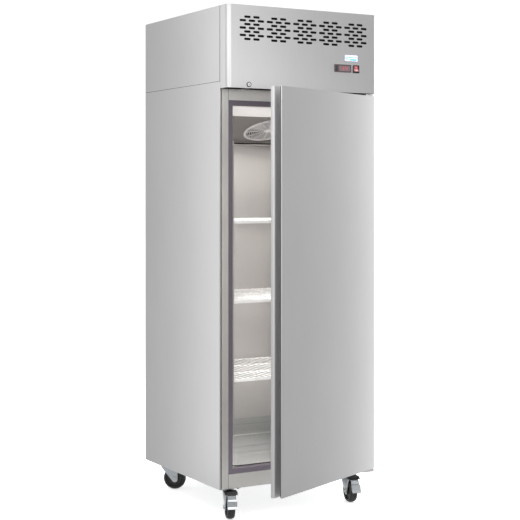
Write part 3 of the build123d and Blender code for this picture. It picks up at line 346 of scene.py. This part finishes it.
def finned(name, rgb):
    """A block of thin bright fins: light edges, and painted shade in the gaps between them, with a few bent
    fins.
    """
    pitch = 3.2 * MM
    f = Finish(name, Metallic=0.85, Roughness=0.38)
    wave = f.node("TexWave", wave_type="BANDS", bands_direction="DIAGONAL", wave_profile="SIN",
                  Scale=0.318, Distortion=0.25, Detail=1.0)
    f.link(f.scaled((1 / pitch, 0, 0)), wave.inputs["Vector"])
    gaps = wave.outputs["Fac"]
    dust = f.field((22, 22, 9), detail=5.0, roughness=0.6)
    # The darkest stop is painted shade deep in the gaps between the fins.
    tint = f.ramp(gaps, [(0.18, shade(rgb, 0.10)), (0.45, shade(rgb, 0.55)), (0.80, rgb)])
    wide = f.ramp(dust, [(0.35, (0.80, 0.78, 0.75)), (0.60, grey(1.0))])
    f.colour(f.multiplied(tint, wide))
    f.bump(gaps, strength=0.6, distance=1.2 * MM)
    return f.mat


def clear(name, rgb, ior, rough=(0.03, 0.10)):
    """Clear moulded plastic with faint ripples and light scuffs."""
    f = Finish(name, Transmission_Weight=1.0, IOR=ior)
    ripples = f.field((26, 26, 60), detail=3.0)
    scuffs = f.field((240, 240, 50), detail=5.0, roughness=0.7)
    f.colour(f.ramp(ripples, [(0.30, shade(rgb, 0.97)), (0.70, rgb)]))
    f.rough(f.span(scuffs, *rough))
    f.bump(ripples, strength=0.05, distance=1 * MM)
    return f.mat


def glowing(name, rgb, strength):
    """A lit diffuser or segment, brighter through its thin places."""
    f = Finish(name, Roughness=0.35, Emission_Strength=strength)
    streaks = f.field((260, 260, 52), detail=3.0)
    tint = f.ramp(streaks, [(0.30, shade(rgb, 0.92)), (0.70, rgb)])
    f.colour(tint)
    f.link(tint, f.shader.inputs["Emission Color"])
    f.bump(streaks, strength=0.05, distance=0.4 * MM)
    return f.mat


LEVEL_GRAIN = (7, 900, 900)
EVEN_GRAIN = (300, 300, 300)
MATS = {
    "stainless": brushed("stainless", (0.665, 0.665, 0.668)),
    "frame_steel": brushed("frame_steel", (0.86, 0.845, 0.815), (0.38, 0.46)),
    "liner_steel": brushed("liner_steel", (0.68, 0.665, 0.65), (0.36, 0.46), LEVEL_GRAIN,
                           depth=0.04, bump=0.02),
    "bright_trim": brushed("bright_trim", (0.74, 0.74, 0.745), (0.52, 0.58), (900, 900, 6),
                           depth=0.02, bump=0.008),
    "galvanised": spangled("galvanised", (0.55, 0.56, 0.57)),
    "zinc_plate": plated("zinc_plate", (0.66, 0.70, 0.74), warm=(0.70, 0.69, 0.62)),
    "foam": moulded("foam", (0.78, 0.68, 0.42), (0.75, 0.9),
                    grit=320, bump=0.5, depth=0.14, gloss=0.2),
    "dark_strip": moulded("dark_strip", (0.118, 0.100, 0.124), (0.38, 0.50),
                          grit=700, bump=0.06, depth=0.08),
    "white_wire": moulded("white_wire", (0.96, 0.96, 0.95), (0.20, 0.32),
                          grit=260, bump=0.06, depth=0.04, coat=0.35),
    "white_plastic": glowing("white_plastic", (0.84, 0.815, 0.795), strength=0.34),
    "grey_plastic": moulded("grey_plastic", (0.62, 0.60, 0.60), (0.34, 0.46),
                            grit=700, bump=0.08, depth=0.06),
    "clear_plastic": clear("clear_plastic", (0.93, 0.95, 0.955), ior=1.49),
    "black_plastic": moulded("black_plastic", (0.022, 0.021, 0.023), (0.30, 0.44),
                             grit=650, bump=0.16, depth=0.20),
    "display_window": moulded("display_window", (0.070, 0.045, 0.050), (0.10, 0.18),
                              grit=500, bump=0.02, depth=0.10, coat=0.6),
    "red_plastic": moulded("red_plastic", (0.36, 0.060, 0.075), (0.14, 0.22),
                           grit=500, bump=0.03, depth=0.12, coat=0.8),
    "label_white": moulded("label_white", (0.80, 0.82, 0.84), (0.22, 0.30),
                           grit=800, bump=0.03, depth=0.02, coat=0.4),
    "gasket_grey": moulded("gasket_grey", (0.25, 0.25, 0.26), (0.55, 0.70), grit=800, gloss=0.3),
    "wheel_black": moulded("wheel_black", (0.017, 0.016, 0.016), (0.40, 0.58),
                           grit=420, bump=0.22, depth=0.25),
    "copper": brushed("copper", (0.72, 0.36, 0.22), (0.22, 0.38), (60, 60, 60), depth=0.16, bump=0.04),
    "fin_metal": finned("fin_metal", (0.76, 0.77, 0.78)),
    "black_paint": moulded("black_paint", (0.020, 0.020, 0.021), (0.30, 0.42),
                           grit=160, depth=0.20, coat=0.2),
    "chrome_lock": brushed("chrome_lock", (0.74, 0.74, 0.74), (0.08, 0.16), EVEN_GRAIN,
                           depth=0.05, bump=0.02),
}

# Nodes that look different from the other nodes of their material slot.
# A darker copy of the zinc plate on the pedals: painted shade that dims the bright reflections on their flat
# faces.
DIMMED_PEDAL_LOOK = plated("pedal_plate_dimmed", (0.50, 0.53, 0.56), warm=(0.54, 0.53, 0.48), rough=(0.38, 0.55))
OWN_LOOKS = {
    # A darkened copy of the lock's chrome: painted shade for the dark ring round the lock.
    "lock_body": brushed("lock_shell_shaded", (0.20, 0.19, 0.19), (0.18, 0.28), EVEN_GRAIN, depth=0.08, bump=0.02),
    "brake_pedal_front_left": DIMMED_PEDAL_LOOK,
    "brake_pedal_front_right": DIMMED_PEDAL_LOOK,
    "drain_tray": moulded("tray_enamel", (0.84, 0.81, 0.80), (0.30, 0.42), grit=500, bump=0.04, depth=0.03),
    "lock_bolt": plated("bolt_plate", (0.22, 0.22, 0.22), warm=(0.20, 0.19, 0.18)),
    "fan_guard": moulded("guard_plastic", (0.93, 0.905, 0.90), (0.32, 0.44),
                         grit=700, bump=0.08, depth=0.05, coat=0.1),
    # A darker copy of the liner steel: painted shade for the slanted cover, which faces down into shade.
    "evaporator_cover": brushed("cover_steel_shaded", (0.40, 0.38, 0.37), (0.38, 0.48), LEVEL_GRAIN,
                                depth=0.05, bump=0.02),
}


def dress_nodes():
    """Give every CAD node its own look or the look of its material slot."""
    for part in frame["record"]["subparts"]:
        mesh = frame["nodes"][part["node"]].data
        mesh.materials.clear()
        mesh.materials.append(OWN_LOOKS.get(part["node"], MATS[part["material_slot"]]))


# ---- pieces --------------------------------------------------------------------------------

SHARP_FROM = math.radians(35)
# How far before the front of a node a ray starts when it looks for the node's surface.
RUN_UP = 0.2


def piece(name, bm, body, material, smooth=True):
    """Make a mesh into a named piece that moves with a body."""
    mesh = bpy.data.meshes.new(name)
    bm.normal_update()
    bm.to_mesh(mesh)
    bm.free()
    mesh.materials.append(material)
    obj = bpy.data.objects.new(name, mesh)
    bpy.context.scene.collection.objects.link(obj)
    if smooth:
        mesh.shade_smooth()
        mesh.set_sharp_from_angle(angle=SHARP_FROM)
    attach(obj, body)
    return obj


def box_of(node):
    """The lowest and the highest corner of a CAD node's box."""
    low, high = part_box(node)
    return Vector(low), Vector(high)


def surface(node, start, direction):
    """Where a ray first meets a CAD node, and the outward direction there."""
    mesh = frame["nodes"][node].data
    tree = BVHTree.FromPolygons([v.co for v in mesh.vertices], [p.vertices for p in mesh.polygons])
    spot, out, *_ = tree.ray_cast(Vector(start), Vector(direction).normalized())
    return spot, -out if out.dot(Vector(direction)) > 0 else out


def add_slab(bm, low, high):
    """A plain block in a larger piece, from its two corners."""
    middle = (Vector(low) + Vector(high)) / 2
    size = Vector(high) - Vector(low)
    place = Matrix.Translation(middle) @ Matrix.Diagonal((*size, 1.0))
    bmesh.ops.create_cube(bm, size=1.0, matrix=place)


def add_plate(bm, outline, origin, across, up, out, depth):
    """A flat plate from an outline of (a, b) points in the plane of across and up, raised along out."""
    base = [bm.verts.new(origin + across * a + up * b) for a, b in outline]
    top = [bm.verts.new(v.co + out * depth) for v in base]
    count = len(outline)
    bm.faces.new(top)
    bm.faces.new(list(reversed(base)))
    for n in range(count):
        m = (n + 1) % count
        bm.faces.new((base[n], base[m], top[m], top[n]))


def add_front_plate(bm, outline, origin, depth):
    """A flat plate that stands upright and faces the front."""
    add_plate(bm, outline, origin, ACROSS, UP, OUT, depth)


def rectangle(left, right, half_high):
    """The outline of a rectangle, centred in height."""
    return [(left, -half_high), (right, -half_high), (right, half_high), (left, half_high)]


def rounded_box(wide, high, radius, steps=5):
    """The outline of a rectangle with round corners, about its middle."""
    points = []
    for cx, cy, start in ((1, 1, 0), (-1, 1, 90), (-1, -1, 180), (1, -1, 270)):
        for n in range(steps + 1):
            turn = math.radians(start + 90 * n / steps)
            points.append((cx * (wide / 2 - radius) + radius * math.cos(turn),
                           cy * (high / 2 - radius) + radius * math.sin(turn)))
    return points


def turned(points, angle):
    """An outline turned about its origin."""
    cos, sin = math.cos(angle), math.sin(angle)
    return [(a * cos - b * sin, a * sin + b * cos) for a, b in points]


def basis(out):
    """Two directions across a surface whose outward direction is given, and that direction."""
    out = Vector(out).normalized()
    across = UP.cross(out) if abs(out.z) < 0.9 else ACROSS.copy()
    across.normalize()
    return across, out.cross(across), out


def add_screw(bm, at, out, radius, dome, turn):
    """A pan-head screw: a low dome with a cross recess, as one smooth height field over rings."""
    rings, spokes = 12, 48
    recess_half, recess_reach, recess_depth = 0.13, 0.62, 0.55
    wall_slope = 8
    across, up, out = basis(out)
    rows = []
    for r in range(1, rings + 1):
        share = r / rings
        row = []
        for n in range(spokes):
            angle = 2 * math.pi * n / spokes
            x, y = share * math.cos(angle), share * math.sin(angle)
            height = dome * (1 - share ** 3)
            if min(abs(x), abs(y)) < recess_half and share < recess_reach:
                height -= recess_depth * dome * min(1.0, (recess_reach - share) * wall_slope)
            spot = across * math.cos(angle + turn) + up * math.sin(angle + turn)
            row.append(bm.verts.new(Vector(at) + spot * (radius * share) + out * height))
        rows.append(row)
    centre = bm.verts.new(Vector(at) + out * dome * (1 - recess_depth))
    for n in range(spokes):
        m = (n + 1) % spokes
        bm.faces.new((centre, rows[0][n], rows[0][m]))
        for inner, outer in zip(rows, rows[1:]):
            bm.faces.new((inner[n], outer[n], outer[m], inner[m]))
    bm.faces.new([rows[-1][n] for n in reversed(range(spokes))])


def add_loop(bm, points, radius, sides=8):
    """A round bar along a closed line of points."""
    rings = []
    count = len(points)
    for n, point in enumerate(points):
        along = (points[(n + 1) % count] - points[n - 1]).normalized()
        side = along.cross(UP if abs(along.z) < 0.9 else ACROSS).normalized()
        lift = along.cross(side)
        rings.append([
            bm.verts.new(point + side * (radius * math.cos(a)) + lift * (radius * math.sin(a)))
            for a in (2 * math.pi * k / sides for k in range(sides))
        ])
    for n, first in enumerate(rings):
        second = rings[(n + 1) % count]
        for k in range(sides):
            m = (k + 1) % sides
            bm.faces.new((first[k], second[k], second[m], first[m]))


# ---- details on the cabinet ----------------------------------------------------------------

def make_housing_seal_and_shade():
    """Dark sealant in the gap between the machine housing and the cabinet, at the sides and the back; its
    near black also paints the shade in that gap.
    """
    low, high = box_of("side_panels")
    gap_low, gap_high = high.z, box_of("housing_back")[0].z
    inset, band, end_gap = 0.35 * MM, 3 * MM, 2 * MM
    bm = bmesh.new()
    for x0, x1 in ((low.x + inset, low.x + band), (high.x - band, high.x - inset)):
        add_slab(bm, (x0, low.y + end_gap, gap_low), (x1, high.y - end_gap, gap_high))
    add_slab(bm, (low.x + band, high.y - band, gap_low), (high.x - band, high.y - inset, gap_high))
    # Near black: partly the sealant's own colour, partly painted shade in the seam gap.
    seam_seal_and_shade = moulded("seam_seal_and_shade", (0.035, 0.034, 0.034), (0.6, 0.8), grit=500, bump=0.2, depth=0.2, gloss=0.2)
    piece("housing_seal_and_seam_shade", bm, "cabinet", seam_seal_and_shade, smooth=False)


def make_joint_beads_and_shade():
    """Thin dark beads where the stiles and the rails of the front frame meet: partly sealant, partly painted
    shade for the joint lines.
    """
    low, high = box_of("front_frame")
    strip_low, strip_high = box_of("breaker_strips")
    half_wide, proud, sunk = 0.7 * MM, 0.12 * MM, 0.5 * MM
    bm = bmesh.new()
    for edge in (strip_low.x, strip_high.x):
        for z0, z1 in ((low.z, strip_low.z), (strip_high.z, high.z)):
            add_slab(bm, (edge - half_wide, low.y - proud, z0), (edge + half_wide, low.y + sunk, z1))
    # Dark grey: partly the sealant's colour, partly painted shade in the joints.
    bead = moulded("joint_bead_and_shade", (0.16, 0.155, 0.15), (0.5, 0.7), grit=600, depth=0.15, gloss=0.3)
    piece("frame_joint_beads_and_shade", bm, "cabinet", bead, smooth=False)


def make_tray_lip():
    """The folded front lip of the drain tray, and a black strip under it that paints the shade beneath the
    lip.
    """
    low, high = box_of("drain_tray")
    half_thick, lip_high, lip_end = 0.6 * MM, 9 * MM, 1 * MM
    bm = bmesh.new()
    add_slab(bm, (low.x + lip_end, low.y - half_thick, low.z),
             (high.x - lip_end, low.y + half_thick, low.z + lip_high))
    piece("drain_tray_lip", bm, "cabinet", OWN_LOOKS["drain_tray"], smooth=False)

    # The black strip is painted shade: it stands where the underside of the tray lies in shade.
    front = low.y + 6 * MM
    shade_strip_end, shade_strip_deep, shade_strip_hang, shade_strip_overlap = 14 * MM, 4 * MM, 5.5 * MM, 0.2 * MM
    bm = bmesh.new()
    add_slab(bm, (low.x + shade_strip_end, front, low.z - shade_strip_hang),
             (high.x - shade_strip_end, front + shade_strip_deep, low.z + shade_strip_overlap))
    piece("drain_tray_shade_strip", bm, "cabinet", MATS["black_plastic"], smooth=False)


def make_rear_screws():
    """Cross-head screws round the two rear sheets, sunk a little so that they stay in the outer box."""
    head, dome, sunk = 4 * MM, 1.1 * MM, 0.2 * MM
    bm = bmesh.new()
    low, high = box_of("housing_back")
    margin = 12 * MM
    for x in (low.x + margin, (low.x + high.x) / 2, high.x - margin):
        for z in (low.z + margin, high.z - margin):
            add_screw(bm, (x, high.y - sunk, z), FORWARD, head, dome, turn=0.2 + x * 9)
    low, high = box_of("back_panel")
    side_margin, end_margin, rows = 14 * MM, 25 * MM, 5
    for x in (low.x + side_margin, high.x - side_margin):
        for n in range(rows):
            z = low.z + end_margin + n * (high.z - low.z - 2 * end_margin) / (rows - 1)
            add_screw(bm, (x, high.y - sunk, z), FORWARD, head, dome, turn=x + z * 7)
    piece("rear_screws", bm, "cabinet", MATS["zinc_plate"])


def make_inside_screws():
    """Screws that hold the fan guard and the slanted cover."""
    bm = bmesh.new()
    low, high = box_of("fan_guard")
    middle = (low + high) / 2
    rim = 5.5 * MM
    radius = (high.x - low.x) / 2 - rim
    slant = (high.z - low.z) / (high.x - low.x)
    for angle in (45, 135, 225, 315):
        x = middle.x + radius * math.cos(math.radians(angle))
        z = middle.z + radius * math.sin(math.radians(angle)) * slant
        spot, out = surface("fan_guard", (x, low.y - RUN_UP, z), FORWARD)
        add_screw(bm, spot, out, radius=3.4 * MM, dome=1.4 * MM, turn=angle)
    low, high = box_of("evaporator_cover")
    side_margin, end_margin = 16 * MM, 14 * MM
    for x in (low.x + side_margin, high.x - side_margin):
        for z in (low.z + end_margin, high.z - end_margin):
            spot, out = surface("evaporator_cover", (x, low.y - RUN_UP, z), FORWARD)
            add_screw(bm, spot, out, radius=3.6 * MM, dome=1.6 * MM, turn=x + z)
    piece("inside_screws", bm, "cabinet", MATS["zinc_plate"])


def make_bracket_screws():
    """Two screws in each of the two hinge brackets."""
    low, high = box_of("hinge_brackets")
    left_margin, right_margin, low_margin, high_margin = 18 * MM, 17 * MM, 26 * MM, 12 * MM
    bm = bmesh.new()
    for x in (low.x + left_margin, high.x - right_margin):
        for z in (low.z + low_margin, high.z - high_margin):
            spot, out = surface("hinge_brackets", (x, low.y - RUN_UP, z), FORWARD)
            add_screw(bm, spot, out, radius=5 * MM, dome=2 * MM, turn=x + z)
    piece("hinge_bracket_screws", bm, "cabinet", MATS["zinc_plate"])


# ---- details on the swinging front panel ---------------------------------------------------

DIGITS = {
    3: ("top", "middle", "bottom", "upper_right", "lower_right"),
    4: ("upper_left", "upper_right", "middle", "lower_right"),
}
SEGMENT_THICK = 0.25 * MM
# The space at each end of a segment, as a share of the stroke.
SEGMENT_GAP = 0.08
# Where each segment lies, in half widths and half heights of the numeral, and whether it's upright.
SEGMENTS = {
    "top": (0, 1, False), "middle": (0, 0, False), "bottom": (0, -1, False),
    "upper_left": (-1, 0.5, True), "upper_right": (1, 0.5, True), "lower_right": (1, -0.5, True),
}


def make_panel_shade_strip():
    """A black strip on the underside of the swinging front panel, which paints the shade there; it is open
    where the lock's bolt drops.
    """
    low, high = box_of("top_front_panel")
    bolt_low, bolt_high = box_of("lock_bolt")
    end_margin, edge_margin, bolt_gap = 4 * MM, 3 * MM, 2 * MM
    hang, overlap = 0.6 * MM, 0.1 * MM
    bm = bmesh.new()
    left_run = (low.x + end_margin, bolt_low.x - bolt_gap)
    right_run = (bolt_high.x + bolt_gap, high.x - end_margin)
    for x0, x1 in (left_run, right_run):
        add_slab(bm, (x0, low.y + edge_margin, low.z - hang), (x1, high.y - edge_margin, low.z + overlap))
    # Matte and nearly black, so that the strip reads as painted shade under the panel.
    shade_black = moulded("painted_shade_black", (0.020, 0.018, 0.018), (0.85, 0.95),
                   grit=500, bump=0.3, depth=0.2, gloss=0.02)
    piece("panel_underside_shade_strip", bm, "front_panel", shade_black, smooth=False)


def add_digit(bm, digit, middle, wide, high, thick):
    """A seven-segment numeral with pointed segments."""
    for name in DIGITS[digit]:
        across, up, upright = SEGMENTS[name]
        half = (high / 2 if upright else wide) / 2 - SEGMENT_GAP * thick
        side = thick / 2
        tip = half - side
        outline = [(-half, 0), (-tip, -side), (tip, -side), (half, 0), (tip, side), (-tip, side)]
        spot = middle + ACROSS * (across * wide / 2) + UP * (up * high / 2)
        add_front_plate(bm, turned(outline, math.pi / 2 if upright else 0), spot, SEGMENT_THICK)


def make_reading():
    """The controller's smoked window and a lit reading of three point four degrees."""
    low, high = box_of("temperature_controller")
    well_deep, window_shift, lens_thick = 1.0 * MM, 7 * MM, 0.5 * MM
    floor = Vector(((low.x + high.x) / 2 + window_shift, low.y + well_deep, (low.z + high.z) / 2))
    bm = bmesh.new()
    add_front_plate(bm, rounded_box(wide=53.6 * MM, high=21.6 * MM, radius=1.4 * MM), floor, lens_thick)
    lens = moulded("smoked_lens", (0.150, 0.118, 0.128), (0.10, 0.18),
                   grit=500, bump=0.02, depth=0.10, coat=0.9)
    piece("controller_lens", bm, "front_panel", lens)

    digit_wide, digit_high, stroke, dot_radius = 7.5 * MM, 13 * MM, 1.9 * MM, 0.9 * MM
    bm = bmesh.new()
    face = floor + OUT * lens_thick
    for digit, at in ((3, -7.5 * MM), (4, 7.5 * MM)):
        add_digit(bm, digit, face + ACROSS * at, digit_wide, digit_high, stroke)
    around = (math.radians(30 * n) for n in range(12))
    dot = [(dot_radius * math.cos(a), dot_radius * math.sin(a)) for a in around]
    add_front_plate(bm, dot, face + ACROSS * (0.2 * MM) - UP * (6.2 * MM), SEGMENT_THICK)
    lit = glowing("lit_red", (0.50, 0.045, 0.055), strength=0.30)
    piece("controller_digits", bm, "front_panel", lit)


def make_label_print():
    """A generic mark for the blank plate: a thin border, a snowflake, two lines and a block."""
    low, high = box_of("product_label")
    middle = Vector(((low.x + high.x) / 2, low.y, (low.z + high.z) / 2))
    inset, corner, line_thick = 1.6 * MM, 3.2 * MM, 0.12 * MM
    outline = rounded_box(high.x - low.x - inset, high.z - low.z - inset, corner)
    bm = bmesh.new()
    add_loop(bm, [middle + ACROSS * a + UP * b for a, b in outline], radius=1.0 * MM)
    piece("label_border", bm, "front_panel", ink("border_ink", (0.17, 0.16, 0.32)))

    arm, arm_half, twig_at, twig_long, twig_half = 7.6 * MM, 0.6 * MM, 4.6 * MM, 3.2 * MM, 0.45 * MM
    flake = middle - ACROSS * (21 * MM)
    bm = bmesh.new()
    # The bars differ a little in thickness, so that their faces don't lie in one plane.
    for n in range(3):
        bar = turned(rectangle(-arm, arm, arm_half), math.pi / 3 * n + math.pi / 6)
        add_front_plate(bm, bar, flake, (0.10 + 0.02 * n) * MM)
    for n in range(6):
        for side in (-1, 1):
            branch = turned(rectangle(0, twig_long, twig_half), side * math.pi / 4)
            twig = [(a + twig_at, b) for a, b in branch]
            add_front_plate(bm, turned(twig, math.pi / 3 * n + math.pi / 6), flake, 0.17 * MM)
    line_round = 1.2 * MM
    # Place across and up, width and height in millimetres.
    for across, up, wide, tall in ((1, 2.6, 24, 3.0), (10, -6.4, 32, 6.0)):
        spot = middle + ACROSS * (across * MM) + UP * (up * MM)
        add_front_plate(bm, rounded_box(wide * MM, tall * MM, line_round), spot, line_thick)
    piece("label_mark", bm, "front_panel", ink("pale_blue_ink", (0.10, 0.52, 0.86)))

    bm = bmesh.new()
    spot = middle + ACROSS * (21.5 * MM) + UP * (2.6 * MM)
    add_front_plate(bm, rounded_box(14 * MM, 3 * MM, line_round), spot, line_thick)
    piece("label_second_line", bm, "front_panel", ink("grey_blue_ink", (0.30, 0.36, 0.50)))


def make_rocker_marks():
    """The on and off marks moulded on the two faces of the rocker."""
    low, high = box_of("power_switch_rocker")
    x, z = (low.x + high.x) / 2, (low.z + high.z) / 2
    mark_away, raised = 6.5 * MM, 0.25 * MM
    bm = bmesh.new()
    spot, out = surface("power_switch_rocker", (x, low.y - RUN_UP, z + mark_away), FORWARD)
    bar = rectangle(-0.9 * MM, 0.9 * MM, half_high=3.2 * MM)
    add_plate(bm, bar, spot, ACROSS, out.cross(ACROSS), out, raised)
    spot, out = surface("power_switch_rocker", (x, low.y - RUN_UP, z - mark_away), FORWARD)
    up = out.cross(ACROSS)
    around = (math.radians(15 * n) for n in range(24))
    ring_radius, bar_radius = 3.1 * MM, 0.8 * MM
    ring = [spot + (ACROSS * math.cos(a) + up * math.sin(a)) * ring_radius for a in around]
    add_loop(bm, ring, bar_radius)
    piece("rocker_marks", bm, "rocker", MATS["label_white"])


def make_vent_filter():
    """The black foam filter behind the vent slots, which hides the machinery from the front."""
    low, high = box_of("top_front_panel")
    left_margin, right_margin, top_margin = 45 * MM, 30 * MM, 12 * MM
    sheet, thick, tall = 1.4 * MM, 5 * MM, 165 * MM
    back, top = low.y + sheet, high.z - top_margin
    bm = bmesh.new()
    add_slab(bm, (low.x + left_margin, back, top - tall), (high.x - right_margin, back + thick, top))
    foam = moulded("filter_foam", (0.010, 0.010, 0.010), (0.9, 1.0),
                   grit=700, bump=0.5, depth=0.4, gloss=0.02)
    piece("vent_filter", bm, "front_panel", foam, smooth=False)


# ---- details on the door -------------------------------------------------------------------

def make_hem_shade_strip():
    """A dark strip behind the hem of the door's front sheet, where fingers curl round it: painted shade under
    the hem.
    """
    mesh = frame["nodes"]["door_skin"].data
    out = max(mesh.polygons, key=lambda face: face.area).normal.copy()
    if out.dot(FORWARD) > 0:
        out.negate()
    across = UP.cross(out)
    left = min(v.co.dot(across) for v in mesh.vertices)
    front = max(v.co.dot(out) for v in mesh.vertices)
    low, high = box_of("door_skin")
    end_gap = 2 * MM
    outline = [(0.5, 2.4), (3.2, 2.4), (3.2, 7.4), (1.6, 7.8), (0.5, 6.6)]
    origin = across * left + out * front + UP * (low.z + end_gap)
    bm = bmesh.new()
    long = high.z - low.z - 2 * end_gap
    add_plate(bm, [(a * MM, b * MM) for a, b in outline], origin, across, -out, UP, long)
    # Nearly black: painted shade in the pocket under the hem.
    hem_shade_black = moulded("hem_shade_black", (0.060, 0.060, 0.062), (0.6, 0.8), grit=500, bump=0.2, depth=0.15, gloss=0.2)
    piece("hem_shade_strip", bm, "door", hem_shade_black, smooth=False)


# ---- details on the casters ----------------------------------------------------------------

def islands(bm):
    """The separate closed shells of a mesh, as sets of vertices."""
    left = set(bm.verts)
    while left:
        shell, edge = set(), [left.pop()]
        while edge:
            vert = edge.pop()
            shell.add(vert)
            near = {e.other_vert(vert) for e in vert.link_edges} - shell
            edge.extend(near & left)
            left -= near
        yield shell


def make_forks():
    """The front forks in two finishes: zinc-plated steel, and a black moulded cover over the brake."""
    cover_bottom = 90 * MM
    cover_look = moulded("brake_cover", (0.014, 0.014, 0.015), (0.45, 0.60),
                         grit=500, bump=0.2, depth=0.2, gloss=0.15)
    for name in ("front_left", "front_right"):
        node = "caster_fork_" + name
        for keep_cover, title in ((False, "fork_and_axle_"), (True, "brake_cover_")):
            bm = bmesh.new()
            bm.from_mesh(frame["nodes"][node].data)
            bmesh.ops.remove_doubles(bm, verts=bm.verts, dist=1e-6)
            gone = []
            for shell in islands(bm):
                is_cover = min(v.co.z for v in shell) > cover_bottom
                if is_cover != keep_cover:
                    gone.extend(shell)
            bmesh.ops.delete(bm, geom=gone, context="VERTS")
            slot = "black_plastic" if keep_cover else "zinc_plate"
            look = cover_look if keep_cover else MATS[slot]
            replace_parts(piece(title + name, bm, "fork_" + name, look), node)


make_camera()
make_world()
make_floor()
dress_nodes()
make_housing_seal_and_shade()
make_joint_beads_and_shade()
make_panel_shade_strip()
make_tray_lip()
make_rear_screws()
make_inside_screws()
make_bracket_screws()
make_reading()
make_label_print()
make_rocker_marks()
make_vent_filter()
make_forks()
make_hem_shade_strip()
make_lights()
bpy.context.scene.view_settings.view_transform = "Standard"
